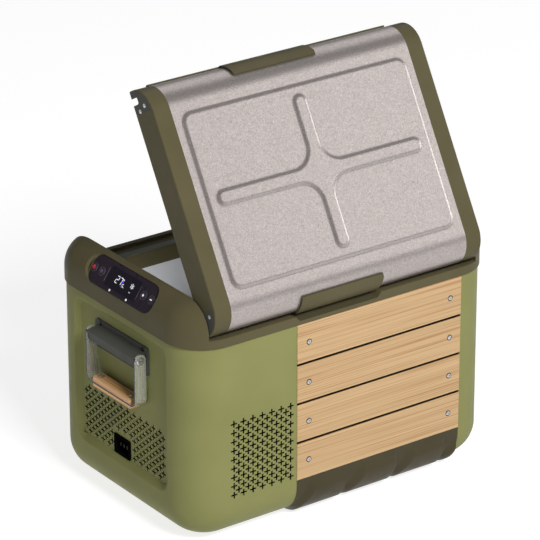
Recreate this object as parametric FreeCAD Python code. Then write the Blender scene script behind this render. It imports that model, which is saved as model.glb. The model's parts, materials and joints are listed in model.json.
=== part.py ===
import FreeCAD, Part
import math
import os

from FreeCAD import Vector

# Compressor cooler fridge with a lid that opens from either long side.
# Millimetres. +X runs along the length, -Y is the front, +Z is up.
# The floor is z = 0 and the origin is under the middle of the housing.

# ---- driving dimensions -------------------------------------------------
LENGTH, DEPTH = 600.0, 400.0          # green housing
RIM_Z = 348.0                         # top edge of the housing
SHELL_BOTTOM_Z = 8.0
CORNER_R, BOTTOM_R = 68.0, 56.0       # upright corners, bottom edges
WALL = 3.0
LID_ANGLE = 60.0                      # the lid rests open by this much

HALF_L, HALF_D = LENGTH / 2, DEPTH / 2

# top frame
FRAME_OVERHANG = 2.5                  # frame outside the housing
FRAME_R = 70.0
LIP_TOP, LIP_WIDTH = RIM_Z + 14.7, 12.0
DECK_TOP = RIM_Z + 9.0
SCOOP_TOP, SCOOP_HALF = RIM_Z + 6.5, 76.0   # finger room under the front grip
SKIRT_BOTTOM = RIM_Z - 18.0
CHEEK_TOP, CHEEK_ROUND = RIM_Z + 73.5, 52.0
CHEEK_INNER_X = 263.0
CHEEK_WALL = 4.0
MOUTH_X, MOUTH_Y, MOUTH_R = 236.0, 158.0, 26.0
SEAL_WIDTH, SEAL_HEIGHT = 16.0, 1.2

# tub
TUB_WALL = 2.0
TUB_STEP_X = -80.0                    # deep zone lies on the +X side
TUB_FLOOR_Z, SHELF_FLOOR_Z = 62.0, 258.0
BAY_END_X, BAY_TOP_Z = -106.0, 226.0  # compressor bay

# slats and bumpers
SLAT_X0, SLAT_X1 = -98.3, 230.1
SLAT_COUNT, SLAT_PITCH, SLAT_GAP = 4, 68.2, 4.0
SLAT_PROUD, SLAT_SUNK = 1.5, 5.0
SLAT_SCREW_INSET = 22.7
BUMPER_TOP = RIM_Z - SLAT_COUNT * SLAT_PITCH
BUMPER_UNDER_Y = 118.0
LUG_PROUD, BAND_PROUD = 8.0, 2.5
LUG_GROOVES = (2.5, 103.0, 202.0)     # X of the grooves between the lugs

# end recesses, vents and power socket
RECESS_DEPTH, RECESS_BEVEL = 8.0, 11.0
RECESS_HALF_Y = 130.5
RECESS_Z0, RECESS_Z1 = RIM_Z - 267.0, RIM_Z - 11.0
VENT_STEP_A, VENT_STEP_Z = 18.29, 15.55
PLUS_SPAN, PLUS_ARM = 12.0, 3.0
FRONT_VENT_X0, FRONT_VENT_TOP = -220.1, RIM_Z - 137.8
END_VENT_Y, END_VENT_TOP = 1.5, RIM_Z - 171.0
SOCKET_Y, SOCKET_Z = 7.0, RIM_Z - 239.0
SOCKET_W, SOCKET_H = 46.0, 34.0

# drop handles
HANDLE_Y, PIVOT_DROP = 2.0, 56.0      # pivot below the rim
STRAP_HALF, STRAP_W, STRAP_T = 70.0, 21.6, 2.6
STRAP_DROP = 80.5                     # pivot to the strap's underside
PLATE_T = 2.5
BRACKET_HALF, BRACKET_SCREW_Y, BRACKET_SCREW_Z = 75.0, 60.0, 14.8
RIDGE_OUT, BAR_TOP, BAR_BOTTOM = 10.0, 11.5, -10.9    # ridged bar, from the pivot
GRIP_HALF, GRIP_SCREW_Y = 54.0, 43.0
GRIP_UPPER_T, GRIP_LOWER_T = 9.0, 6.6

# lid, drawn closed and then turned open about the front pins
LID_HALF_X, LID_HALF_Y = 261.5, 199.5
LID_BOTTOM, LID_TOP, LID_R = RIM_Z + 25.3, RIM_Z + 76.0, 44.0
SHEET_HALF_X, SHEET_T = 231.0, 1.5
FIELD_X, FIELD_Y, FIELD_RISE = 212.0, 137.0, 2.5      # raised field of the sheet
CROSS_X, CROSS_Y, CROSS_ARM, CROSS_BEND = 195.0, 122.0, 10.0, 38.0
PIN_Y, PIN_Z, PIN_R = 181.4, RIM_Z + 34.2, 4.0
POCKET_X = 250.0
HOOK_T = 2.0
HOOK_SCREWS = ((170.0, RIM_Z + 56.0), (164.0, RIM_Z + 39.5))    # Y and Z
LATCH_Y, LATCH_Z, LATCH_R = 175.0, RIM_Z + 64.9, 3.0
LATCH_X, LATCH_GRIP_HALF = -18.0, 80.0
LATCH_EARS = (LATCH_X - 68.0, LATCH_X + 68.0)
LATCH_FOOT = 25.0                     # grip's lower edge above the housing

# control panel, on a plane that leans back by PANEL_TILT from level
PANEL_TILT = 55.0
PANEL_AT = Vector(-287.3, 3.5, RIM_Z + 47.0)
PANEL_HALF_U, PANEL_HALF_V, PANEL_R = 89.0, 24.0, 18.0
BUTTON_R, BUTTON_U = 6.0, (-79.8, -58.5, 58.5, 79.8)
BUTTON_NAMES = ("power_button", "set_button", "plus_button", "minus_button")

# refrigeration, in the bay at the left end
TRAY_X0, TRAY_HALF_Y, TRAY_Z, TRAY_T = -236.0, 128.0, 12.0, 2.0
COMPRESSOR_AT, COMPRESSOR_R, COMPRESSOR_H = Vector(-172.0, -62.0, 22.0), 56.0, 118.0
COMPRESSOR_WALL = 12.0
LEG_SPAN_X, LEG_SPAN_Y = 50.0, 24.0   # grommets from the compressor's axis
CONDENSER_X, CONDENSER_T = -281.0, 22.0
CONDENSER_Y, CONDENSER_Z = (2.0, 112.0), (127.0, 212.0)
FIN_PITCH, FIN_GAP, TUBE_PITCH = 5.0, 4.0, 15.0
FAN_AT, FAN_R, FAN_HALF = (-246.0, 57.0, 165.0), 41.0, 46.0
FAN_HUB_R, FAN_BLADES, BLADE_PITCH = 14.0, 7, 55
BOARD_X, BOARD_Y, BOARD_Z = (-226.0, -146.0), (34.0, 122.0), (22.0, 46.0)
RIB_PITCH, RIB_T, RIB_TOP = 8.0, 3.0, 58.0
PIPE_Z, PIPE_R, SUCTION_R = 186.0, 3.0, 4.0
FOOT_X, FOOT_Y, FOOT_HALF = (-236.0, -182.0), 116.0, 20.0

os.makedirs("parts", exist_ok=True)


# ---- helpers ------------------------------------------------------------
def export(node, *solids):
    """Write one node; several solids become one group."""
    shape = solids[0] if len(solids) == 1 else Part.makeCompound(list(solids))
    shape.exportStep("parts/" + node + ".step")


def box(x0, x1, y0, y1, z0, z1):
    return Part.makeBox(x1 - x0, y1 - y0, z1 - z0, Vector(x0, y0, z0))


def rod(start, end, radius):
    """Cylinder between two points."""
    start, end = Vector(*start), Vector(*end)
    return Part.makeCylinder(radius, (end - start).Length, start, end - start)


def outline(points, radii, place):
    """Closed wire through 2-D points, each corner rounded by its radius."""
    if not isinstance(radii, (list, tuple)):
        radii = [radii] * len(points)
    flat = [Vector(a, b, 0) for a, b in points]
    stops = []
    for i, corner in enumerate(flat):
        if not radii[i]:
            stops.append((corner, None, corner))
            continue
        back = (flat[i - 1] - corner).normalize()
        ahead = (flat[(i + 1) % len(flat)] - corner).normalize()
        half = back.getAngle(ahead) / 2
        reach = radii[i] / math.tan(half)
        centre = corner + (back + ahead).normalize() * (radii[i] / math.sin(half))
        mid = centre + (corner - centre).normalize() * radii[i]
        stops.append((corner + back * reach, mid, corner + ahead * reach))
    edges = []
    for i, (first, mid, last) in enumerate(stops):
        if mid is not None:
            edges.append(Part.Arc(place(first), place(mid), place(last)).toShape())
        following = stops[(i + 1) % len(stops)][0]
        if (following - last).Length > 1e-6:
            edges.append(Part.makeLine(place(last), place(following)))
    return Part.Wire(edges)


def on_x(x):
    return lambda p: Vector(x, p.x, p.y)


def on_y(y):
    return lambda p: Vector(p.x, y, p.y)


def on_z(z):
    return lambda p: Vector(p.x, p.y, z)


def prism(points, radii, axis, low, high):
    """Extrude a rounded 2-D outline along x (y, z), y (x, z) or z (x, y)."""
    place, way = {
        "x": (on_x(low), Vector(high - low, 0, 0)),
        "y": (on_y(low), Vector(0, high - low, 0)),
        "z": (on_z(low), Vector(0, 0, high - low)),
    }[axis]
    return Part.Face(outline(points, radii, place)).extrude(way)


def corners(a0, a1, b0, b1):
    return [(a0, b0), (a1, b0), (a1, b1), (a0, b1)]


def slab(half_x, half_y, radius, z0, z1):
    return prism(corners(-half_x, half_x, -half_y, half_y), radius, "z", z0, z1)


def horizontal_edges(shape, z):
    return [e for e in shape.Edges if all(abs(v.Z - z) < 1e-4 for v in e.Vertexes)]


def union(first, *others):
    return first.fuse(list(others)).removeSplitter() if others else first


def mirrored(shape, axis):
    normal = {"x": Vector(1, 0, 0), "y": Vector(0, 1, 0)}[axis]
    return shape.mirror(Vector(0, 0, 0), normal)


def opened(shape):
    """Turn a closed-lid solid to the rest pose, about the front pins."""
    turned = shape.copy()
    turned.rotate(Vector(0, -PIN_Y, PIN_Z), Vector(1, 0, 0), LID_ANGLE)
    return turned


def on_panel(shape):
    """Move a solid drawn on z = 0 (x to the right, y up) onto the control panel."""
    tilt = math.radians(PANEL_TILT)
    upslope = Vector(math.cos(tilt), 0, math.sin(tilt))
    normal = Vector(-math.sin(tilt), 0, math.cos(tilt))
    right = Vector(0, -1, 0)
    turn = FreeCAD.Rotation(right, upslope, normal, "ZXY")
    moved = shape.copy()
    moved.Placement = FreeCAD.Placement(PANEL_AT, turn).multiply(moved.Placement)
    return moved


def plus_wire(a, b, place):
    """Outline of one plus-shaped vent hole."""
    s, t = PLUS_SPAN / 2, PLUS_ARM / 2
    quarter = [(s, -t), (s, t), (t, t), (t, s), (-t, s), (-t, t),
               (-s, t), (-s, -t), (-t, -t), (-t, -s), (t, -s), (t, -t)]
    return outline([(a + u, b + v) for u, v in quarter], 0, place)


def lattice(a0, columns, z_top, rows):
    """Centres of staggered holes: every other row is shifted by half a step."""
    for row in range(rows):
        shift = VENT_STEP_A / 2 if row % 2 else 0.0
        for column in range(columns - row % 2):
            yield a0 + shift + column * VENT_STEP_A, z_top - row * VENT_STEP_Z / 2


def screw(x, y, z, way, head_r, head_h, shank_r, shank_l):
    """Screw with its head's underside at the point and its head towards way."""
    way = Vector(*way)
    at = Vector(x, y, z)
    head = Part.makeCylinder(head_r, head_h, at, way)
    rim = [e for e in head.Edges if abs((e.CenterOfMass - at).dot(way) - head_h) < 1e-6]
    head = head.makeFillet(head_h * 0.6, rim)
    slot = box(-head_r, head_r, -0.5, 0.5, -0.4, 0.4)
    turn = FreeCAD.Rotation(Vector(0, 0, 1), way)
    slot.Placement = FreeCAD.Placement(at + way * head_h, turn)
    head = head.cut(slot)
    return union(head, Part.makeCylinder(shank_r, shank_l, at, way * -1))


# ---- housing ------------------------------------------------------------
def rounded_body(inset, z_top):
    """Housing's block, moved inwards by inset, with round bottom edges."""
    bottom = SHELL_BOTTOM_Z + inset
    body = slab(HALF_L - inset, HALF_D - inset, CORNER_R - inset, bottom, z_top)
    return body.makeFillet(BOTTOM_R - inset, horizontal_edges(body, bottom))


def recess_cut(inset):
    """Bevelled recess of the left end, as a tool; inset thins it for the wall."""
    def ring(x, grow):
        points = corners(-RECESS_HALF_Y - grow, RECESS_HALF_Y + grow,
                         RECESS_Z0 - grow, RECESS_Z1 + grow)
        return outline(points, 24.0 + grow, on_x(x))
    slope = RECESS_BEVEL / RECESS_DEPTH
    outer = ring(-HALF_L - 1 + inset, slope + inset)
    floor = ring(-HALF_L + RECESS_DEPTH + inset, inset - RECESS_BEVEL)
    return Part.makeLoft([outer, floor], True, True)


def shell_cavity():
    """Space inside the housing's walls, clear of the slat beds and recesses."""
    cavity = rounded_body(WALL, RIM_Z + 1)
    beds = []
    for side in (-1, 1):
        y0, y1 = sorted((side * HALF_D, side * (HALF_D - SLAT_SUNK - 4)))
        beds.append(box(SLAT_X0 - 3, SLAT_X1 + 1.5, y0, y1, BUMPER_TOP - 3, RIM_Z + 1))
    left = recess_cut(WALL)
    beds += [left, mirrored(left, "x")]
    return cavity.cut(beds)


def end_floor_x():
    return -HALF_L + RECESS_DEPTH


FRONT_COLUMNS, FRONT_ROWS = 7, 17
END_COLUMNS, END_ROWS = 12, 11


def front_vent_frame():
    """Corners of the front grille plate, in x and z."""
    wide = (FRONT_COLUMNS - 1) * VENT_STEP_A
    tall = (FRONT_ROWS - 1) * VENT_STEP_Z / 2
    pad = PLUS_SPAN / 2 + 2.0
    return (FRONT_VENT_X0 - pad, FRONT_VENT_X0 + wide + pad,
            FRONT_VENT_TOP - tall - pad, FRONT_VENT_TOP + pad)


def end_vent_frame():
    """Corners of the end grille plate, in y and z."""
    half = END_COLUMNS * VENT_STEP_A / 2 + PLUS_SPAN / 2 + 1.5
    tall = (END_ROWS - 1) * VENT_STEP_Z / 2
    pad = PLUS_SPAN / 2 + 1.5
    return (END_VENT_Y - half, END_VENT_Y + half,
            END_VENT_TOP - tall - pad, END_VENT_TOP + pad)


def slat_z(index):
    """Bottom and top of a slat, counted from the rim down."""
    top = RIM_Z - index * SLAT_PITCH - (SLAT_GAP if index else 0.5)
    return RIM_Z - (index + 1) * SLAT_PITCH, top


def slat_screw_places():
    for index in range(SLAT_COUNT):
        low, high = slat_z(index)
        for x in (SLAT_X0 + SLAT_SCREW_INSET, SLAT_X1 - SLAT_SCREW_INSET):
            yield x, (low + high) / 2


def outer_shell():
    shell = rounded_body(0, RIM_Z).cut(shell_cavity())
    cuts = []
    for side in (-1, 1):
        y0, y1 = sorted((side * (HALF_D + 5), side * (HALF_D - SLAT_SUNK)))
        cuts.append(box(SLAT_X0, SLAT_X1, y0, y1, BUMPER_TOP, RIM_Z + 5))
    left = recess_cut(0)
    cuts += [left, mirrored(left, "x")]
    x0, x1, z0, z1 = front_vent_frame()
    cuts.append(box(x0, x1, -HALF_D - 5, -HALF_D + 8, z0, z1))
    y0, y1, z0, z1 = end_vent_frame()
    cuts.append(box(end_floor_x() - 5, end_floor_x() + 8, y0, y1, z0, z1))
    for x, z in slat_screw_places():
        cuts.append(rod((x, -HALF_D - 2, z), (x, -HALF_D + 20, z), 1.9))
        cuts.append(rod((x, HALF_D + 2, z), (x, HALF_D - 20, z), 1.9))
    return shell.cut(cuts)


def front_vent_grille():
    x0, x1, z0, z1 = front_vent_frame()
    place = on_y(-HALF_D)
    wires = [outline(corners(x0, x1, z0, z1), 0, place)]
    for x, z in lattice(FRONT_VENT_X0, FRONT_COLUMNS, FRONT_VENT_TOP, FRONT_ROWS):
        wires.append(plus_wire(x, z, place))
    face = Part.makeFace(wires, "Part::FaceMakerBullseye")
    return face.extrude(Vector(0, WALL, 0))


def end_vent_grille():
    y0, y1, z0, z1 = end_vent_frame()
    place = on_x(end_floor_x())
    hole = corners(SOCKET_Y - SOCKET_W / 2 + 3, SOCKET_Y + SOCKET_W / 2 - 3,
                   SOCKET_Z - SOCKET_H / 2 + 3, SOCKET_Z + SOCKET_H / 2 - 3)
    wires = [outline(corners(y0, y1, z0, z1), 0, place), outline(hole, 1.5, place)]
    keep_y, keep_z = SOCKET_W / 2 + PLUS_SPAN / 2, SOCKET_H / 2 + PLUS_SPAN / 2
    start = END_VENT_Y - (END_COLUMNS - 1) * VENT_STEP_A / 2
    for row in range(END_ROWS):
        wide = row % 2
        first = start - (VENT_STEP_A / 2 if wide else 0)
        for column in range(END_COLUMNS + wide):
            y, z = first + column * VENT_STEP_A, END_VENT_TOP - row * VENT_STEP_Z / 2
            if abs(y - SOCKET_Y) < keep_y and abs(z - SOCKET_Z) < keep_z:
                continue
            wires.append(plus_wire(y, z, place))
    face = Part.makeFace(wires, "Part::FaceMakerBullseye")
    return face.extrude(Vector(WALL, 0, 0))


def slat(index, side):
    low, high = slat_z(index)
    y0, y1 = sorted((side * (HALF_D + SLAT_PROUD), side * (HALF_D - SLAT_SUNK)))
    board = box(SLAT_X0, SLAT_X1, y0, y1, low, high)
    front = [e for e in board.Edges
             if all(abs(abs(v.Y) - HALF_D - SLAT_PROUD) < 1e-4 for v in e.Vertexes)]
    board = board.makeFillet(1.2, front)
    for x, z in slat_screw_places():
        if low < z < high:
            outside = (x, side * (HALF_D + SLAT_PROUD + 1), z)
            board = board.cut(rod(outside, (x, side * (HALF_D - 20), z), 1.9))
    return board


def slat_screws(side):
    return [screw(x, side * (HALF_D + SLAT_PROUD), z, (0, side, 0), 4.4, 1.2, 1.9, 9.0)
            for x, z in slat_screw_places()]


def bumper_section(x, proud):
    """Closed section of the front bumper, standing proud of the housing."""
    centre_y, centre_z = -HALF_D + BOTTOM_R, SHELL_BOTTOM_Z + BOTTOM_R
    outer, inner = BOTTOM_R + proud, BOTTOM_R
    diagonal = math.sqrt(0.5)
    place = on_x(x)

    def at(y, z):
        return place(Vector(y, z, 0))
    top_out = at(-HALF_D - 0.5 - proud * 0.4, BUMPER_TOP - 0.3)
    top_in = at(-HALF_D, BUMPER_TOP - 0.3)
    swell_out, swell_in = at(centre_y - outer, centre_z), at(-HALF_D, centre_z)
    low_out, low_in = at(centre_y, centre_z - outer), at(centre_y, SHELL_BOTTOM_Z)
    end_out = at(-BUMPER_UNDER_Y, centre_z - outer)
    end_in = at(-BUMPER_UNDER_Y, SHELL_BOTTOM_Z)
    mid_out = at(centre_y - outer * diagonal, centre_z - outer * diagonal)
    mid_in = at(centre_y - inner * diagonal, centre_z - inner * diagonal)
    return Part.Wire([
        Part.makeLine(top_in, top_out), Part.makeLine(top_out, swell_out),
        Part.Arc(swell_out, mid_out, low_out).toShape(),
        Part.makeLine(low_out, end_out), Part.makeLine(end_out, end_in),
        Part.makeLine(end_in, low_in),
        Part.Arc(low_in, mid_in, swell_in).toShape(),
        Part.makeLine(swell_in, top_in)])


def front_bumper():
    """Band under the slats, with round lugs that wrap under the housing."""
    edges = [SLAT_X0] + list(LUG_GROOVES) + [SLAT_X1]
    stations = []
    for left, right in zip(edges, edges[1:]):
        room = right - left
        rise, fall = min(12.0, room * 0.3), min(7.0, room * 0.2)
        stations += [(left + 1.2, BAND_PROUD), (left + 1.2 + rise * 0.5, LUG_PROUD * 0.82),
                     (left + 1.2 + rise, LUG_PROUD), (right - 1.2 - fall, LUG_PROUD),
                     (right - 1.2, BAND_PROUD)]
    stations[0] = (SLAT_X0, BAND_PROUD)
    stations[-1] = (SLAT_X1, BAND_PROUD)
    return Part.makeLoft([bumper_section(x, proud) for x, proud in stations], True, True)


# ---- top frame ----------------------------------------------------------
def rim_frame():
    """Deck round the mouth, the long sides' lips, the inner skirt and the front scoop."""
    half_x, half_y = HALF_L + FRAME_OVERHANG, HALF_D + FRAME_OVERHANG
    deck = slab(half_x, half_y, FRAME_R, RIM_Z, DECK_TOP)
    skirt = slab(MOUTH_X + 4, MOUTH_Y + 4, MOUTH_R + 4, SKIRT_BOTTOM, RIM_Z)
    rounded = slab(half_x, half_y, FRAME_R, DECK_TOP - 1, LIP_TOP)
    rounded = rounded.makeFillet(2.5, horizontal_edges(rounded, LIP_TOP))
    between = slab(CHEEK_INNER_X, half_y + 5, 0, DECK_TOP - 1, LIP_TOP)
    inside = slab(half_x, half_y - LIP_WIDTH, FRAME_R - LIP_WIDTH, DECK_TOP - 2, LIP_TOP + 1)
    frame = union(deck, skirt, rounded.common(between).cut(inside))
    cuts = [slab(MOUTH_X, MOUTH_Y, MOUTH_R, SKIRT_BOTTOM - 1, LIP_TOP + 1)]
    slope = LIP_TOP - SCOOP_TOP + 3
    points = [(LATCH_X - SCOOP_HALF, SCOOP_TOP), (LATCH_X + SCOOP_HALF, SCOOP_TOP),
              (LATCH_X + SCOOP_HALF + slope, LIP_TOP + 3),
              (LATCH_X - SCOOP_HALF - slope, LIP_TOP + 3)]
    cuts.append(prism(points, [4, 4, 0, 0], "y", -half_y - 1, -MOUTH_Y - SEAL_WIDTH - 1))
    return frame.cut(cuts)


def cheek_block(inset):
    """Whole rounded top the two cheeks are cut from."""
    half_x, half_y = HALF_L + FRAME_OVERHANG - inset, HALF_D + FRAME_OVERHANG - inset
    top = CHEEK_TOP - inset
    block = slab(half_x, half_y, FRAME_R - inset, DECK_TOP, top)
    return block.makeFillet(CHEEK_ROUND - inset, horizontal_edges(block, top))


def left_cheek(with_panel):
    half_x = HALF_L + FRAME_OVERHANG
    keep = box(-half_x - 1, -CHEEK_INNER_X, -HALF_D - 9, HALF_D + 9, DECK_TOP, CHEEK_TOP)
    hollow = box(-half_x - 1, -CHEEK_INNER_X - CHEEK_WALL, -HALF_D - 9, HALF_D + 9,
                 DECK_TOP - 1, CHEEK_TOP)
    cheek = cheek_block(0).common(keep).cut(cheek_block(CHEEK_WALL).common(hollow))
    if with_panel:
        depth = 8.0
        boss = slab(PANEL_HALF_U + 4, PANEL_HALF_V + 4, PANEL_R + 4, -depth - 3, 1.0)
        cheek = union(cheek, on_panel(boss).common(cheek_block(0)).common(keep))
        pocket = slab(PANEL_HALF_U + 0.6, PANEL_HALF_V + 0.6, PANEL_R + 0.6, -depth, 40)
        flare = panel_flare()
        window = slab(PANEL_HALF_U - 5, PANEL_HALF_V - 5, PANEL_R - 5, -depth - 9, 0)
        cheek = cheek.cut([on_panel(pocket), on_panel(flare), on_panel(window)])
    for side in (-1, 1):
        bore = rod((-CHEEK_INNER_X - CHEEK_WALL, side * PIN_Y, PIN_Z),
                   (-CHEEK_INNER_X + 9, side * PIN_Y, PIN_Z), PIN_R)
        cheek = cheek.cut(bore)
    return cheek


def hinge_pins():
    """Four short pins that stand out of the cheeks' inner walls."""
    root, tip = CHEEK_INNER_X + CHEEK_WALL, 254.0
    return [rod((end * root, side * PIN_Y, PIN_Z), (end * tip, side * PIN_Y, PIN_Z), PIN_R)
            for end in (-1, 1) for side in (-1, 1)]


# ---- control panel ------------------------------------------------------
def panel_flare():
    """Bevel round the panel's pocket."""
    def ring(grow, z):
        points = corners(-PANEL_HALF_U - grow, PANEL_HALF_U + grow,
                         -PANEL_HALF_V - grow, PANEL_HALF_V + grow)
        return outline(points, PANEL_R + grow, on_z(z))
    return Part.makeLoft([ring(0.6, 0.5), ring(14.0, 16.0)], True, True)


def control_panel():
    """Black fascia with holes for the buttons and a seat for the display lens."""
    plate = slab(PANEL_HALF_U, PANEL_HALF_V, PANEL_R, -3.0, 1.0)
    plate = plate.makeFillet(0.9, horizontal_edges(plate, 1.0))
    cuts = [rod((u, 0, -9), (u, 0, 9), BUTTON_R + 0.35) for u in BUTTON_U]
    cuts.append(slab(42.0, 17.0, 3.0, -0.6, 9))
    cuts.append(slab(38.0, 13.0, 2.0, -9, 9))
    return on_panel(plate.cut(cuts))


def display_lens():
    return on_panel(slab(41.9, 16.9, 2.9, -0.6, 0.9))


def display_board():
    """Circuit board behind the fascia, with the display block on it."""
    board = box(-86, 86, -17, 17, -7.4, -5.9)
    block = box(-37, 37, -12, 12, -5.9, -0.8)
    return on_panel(union(board, block))


def panel_button(u):
    cap = rod((u, 0, -2.9), (u, 0, 2.6), BUTTON_R)
    cap = cap.makeFillet(1.4, horizontal_edges(cap, 2.6))
    return on_panel(cap)


def status_lights():
    """Two small round lights on the fascia's lower edge."""
    return [on_panel(rod((u, -20.2, 1.0), (u, -20.2, 1.6), 1.9)) for u in (-22.0, 24.5)]


# ---- power socket -------------------------------------------------------
def power_socket():
    x = end_floor_x()
    flange = prism(corners(SOCKET_Y - SOCKET_W / 2, SOCKET_Y + SOCKET_W / 2,
                           SOCKET_Z - SOCKET_H / 2, SOCKET_Z + SOCKET_H / 2),
                   2.5, "x", x - 2.0, x)
    body = prism(corners(SOCKET_Y - SOCKET_W / 2 + 3, SOCKET_Y + SOCKET_W / 2 - 3,
                         SOCKET_Z - SOCKET_H / 2 + 3, SOCKET_Z + SOCKET_H / 2 - 3),
                 1.5, "x", x - 1.0, x + 15.0)
    mouth = prism(corners(SOCKET_Y - SOCKET_W / 2 + 5.5, SOCKET_Y + SOCKET_W / 2 - 5.5,
                          SOCKET_Z - SOCKET_H / 2 + 5.5, SOCKET_Z + SOCKET_H / 2 - 5.5),
                  1.0, "x", x - 5.0, x + 12.0)
    return union(flange, body).cut(mouth)


def socket_pins():
    x = end_floor_x()
    return [box(x + 2.0, x + 12.0, SOCKET_Y + dy - 1.2, SOCKET_Y + dy + 1.2,
                SOCKET_Z - 3.0, SOCKET_Z + 3.0) for dy in (-9.0, 0.0, 9.0)]


# ---- drop handles, drawn on the left end --------------------------------
PLATE_X = -HALF_L + RECESS_DEPTH - PLATE_T            # bracket plate's outer face
STRAP_X1 = PLATE_X - 0.7
STRAP_X0 = STRAP_X1 - STRAP_W
PIVOT_X, PIVOT_Z = STRAP_X1 - STRAP_W / 2, RIM_Z - PIVOT_DROP
STRAP_LOW = PIVOT_Z - STRAP_DROP
BOLT_R = 3.0


def pivot_rod(half, radius):
    """Cylinder on the bail's axis."""
    return rod((PIVOT_X, HANDLE_Y - half, PIVOT_Z), (PIVOT_X, HANDLE_Y + half, PIVOT_Z), radius)


def handle_bracket():
    """Screwed plate with a ridged bar that fills the space between the bail's arms."""
    floor = end_floor_x()
    base = prism(corners(HANDLE_Y - BRACKET_HALF, HANDLE_Y + BRACKET_HALF,
                         PIVOT_Z - 29, PIVOT_Z + 20), 6.0, "x", PLATE_X, floor)
    half = STRAP_HALF - STRAP_T - 0.4
    section = [(floor, PIVOT_Z + BAR_TOP), (PIVOT_X - RIDGE_OUT, PIVOT_Z + 6.0),
               (PIVOT_X - RIDGE_OUT + 3.0, PIVOT_Z + BAR_BOTTOM),
               (floor, PIVOT_Z + BAR_BOTTOM)]
    bar = prism(section, [0, 1.5, 2.0, 0], "y", HANDLE_Y - half, HANDLE_Y + half)
    bores = [rod((floor + 5, HANDLE_Y + dy, PIVOT_Z + BRACKET_SCREW_Z),
                 (PLATE_X - 5, HANDLE_Y + dy, PIVOT_Z + BRACKET_SCREW_Z), 2.0)
             for dy in (-BRACKET_SCREW_Y, BRACKET_SCREW_Y)]
    return union(base, bar).cut(bores + [pivot_rod(80, BOLT_R)])


def bracket_screws():
    return [screw(PLATE_X, HANDLE_Y + dy, PIVOT_Z + BRACKET_SCREW_Z, (-1, 0, 0),
                  3.0, 1.0, 2.0, PLATE_T) for dy in (-BRACKET_SCREW_Y, BRACKET_SCREW_Y)]


def pivot_bolts():
    """Shouldered bolts through the strap's ends into the bar."""
    return [screw(PIVOT_X, HANDLE_Y + side * (STRAP_HALF + 0.15), PIVOT_Z, (0, side, 0),
                  6.2, 1.8, BOLT_R, 26.0) for side in (-1, 1)]


def handle_strap():
    high, half = PIVOT_Z + 12.0, STRAP_HALF - STRAP_T
    outer = corners(HANDLE_Y - STRAP_HALF, HANDLE_Y + STRAP_HALF, STRAP_LOW, high)
    inner = corners(HANDLE_Y - half, HANDLE_Y + half, STRAP_LOW + STRAP_T, high + 5)
    strap = prism(outer, [15, 15, 0, 0], "x", STRAP_X0, STRAP_X1)
    strap = strap.cut(prism(inner, [12.4, 12.4, 0, 0], "x", STRAP_X0 - 1, STRAP_X1 + 1))
    below = box(STRAP_X0 - 1, STRAP_X1 + 1, HANDLE_Y - 80, HANDLE_Y + 80,
                STRAP_LOW - 1, PIVOT_Z)
    strap = strap.common(union(below, pivot_rod(80, STRAP_W / 2)))
    holes = [rod((PIVOT_X, HANDLE_Y + dy, STRAP_LOW - 1), (PIVOT_X, HANDLE_Y + dy, STRAP_LOW + 5),
                 2.0) for dy in (-GRIP_SCREW_Y, GRIP_SCREW_Y)]
    return strap.cut([pivot_rod(80, BOLT_R + 0.05)] + holes)


def wood_grip(z0, z1, soft_z):
    """One wooden half of the grip; its face away from the strap is rounded."""
    block = prism(corners(STRAP_X0 + 0.2, STRAP_X1 - 0.2,
                          HANDLE_Y - GRIP_HALF, HANDLE_Y + GRIP_HALF), 4.0, "z", z0, z1)
    block = block.makeFillet(2.4, horizontal_edges(block, soft_z))
    return block.cut([rod((PIVOT_X, HANDLE_Y + dy, z0 - 1), (PIVOT_X, HANDLE_Y + dy, z1 + 1), 2.0)
                      for dy in (-GRIP_SCREW_Y, GRIP_SCREW_Y)])


def wood_grips():
    over = STRAP_LOW + STRAP_T
    return [wood_grip(over, over + GRIP_UPPER_T, over + GRIP_UPPER_T),
            wood_grip(STRAP_LOW - GRIP_LOWER_T, STRAP_LOW, STRAP_LOW - GRIP_LOWER_T)]


def grip_screws():
    top = STRAP_LOW + STRAP_T + GRIP_UPPER_T
    return [screw(PIVOT_X, HANDLE_Y + dy, top, (0, 0, 1), 4.6, 1.3, 2.0, 17.5)
            for dy in (-GRIP_SCREW_Y, GRIP_SCREW_Y)]


# ---- tub, foam and refrigeration ----------------------------------------
def tub_space(grow, top):
    """Deep zone and the shallow shelf over the compressor, as one block."""
    deep = prism(corners(TUB_STEP_X - grow, MOUTH_X + grow, -MOUTH_Y - grow, MOUTH_Y + grow),
                 MOUTH_R + grow, "z", TUB_FLOOR_Z - grow, top)
    deep = deep.makeFillet(10.0, horizontal_edges(deep, TUB_FLOOR_Z - grow))
    shelf = slab(MOUTH_X + grow, MOUTH_Y + grow, MOUTH_R + grow, SHELF_FLOOR_Z - grow, top)
    return union(deep, shelf)


def liner_tub():
    tub = tub_space(TUB_WALL, SKIRT_BOTTOM)
    return tub.cut(tub_space(0, SKIRT_BOTTOM + 1)).cut(light_block(0))


def light_block(inset):
    """Interior light's place in the shelf's end wall."""
    return box(-MOUTH_X - TUB_WALL, -MOUTH_X + 1.5, -22 + inset, 22 - inset,
               306 + inset, 320 - inset)


def evaporator():
    """Roll-bonded plate wrapped round the deep zone."""
    outer = prism(corners(TUB_STEP_X - 5, MOUTH_X + 5, -MOUTH_Y - 5, MOUTH_Y + 5),
                  MOUTH_R + 5, "z", 92, 240)
    inner = prism(corners(TUB_STEP_X - 2.2, MOUTH_X + 2.2, -MOUTH_Y - 2.2, MOUTH_Y + 2.2),
                  MOUTH_R + 2.2, "z", 90, 242)
    return outer.cut(inner)


def bay_box():
    return box(-HALF_L, BAY_END_X, -HALF_D, HALF_D, 0, BAY_TOP_Z)


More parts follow.
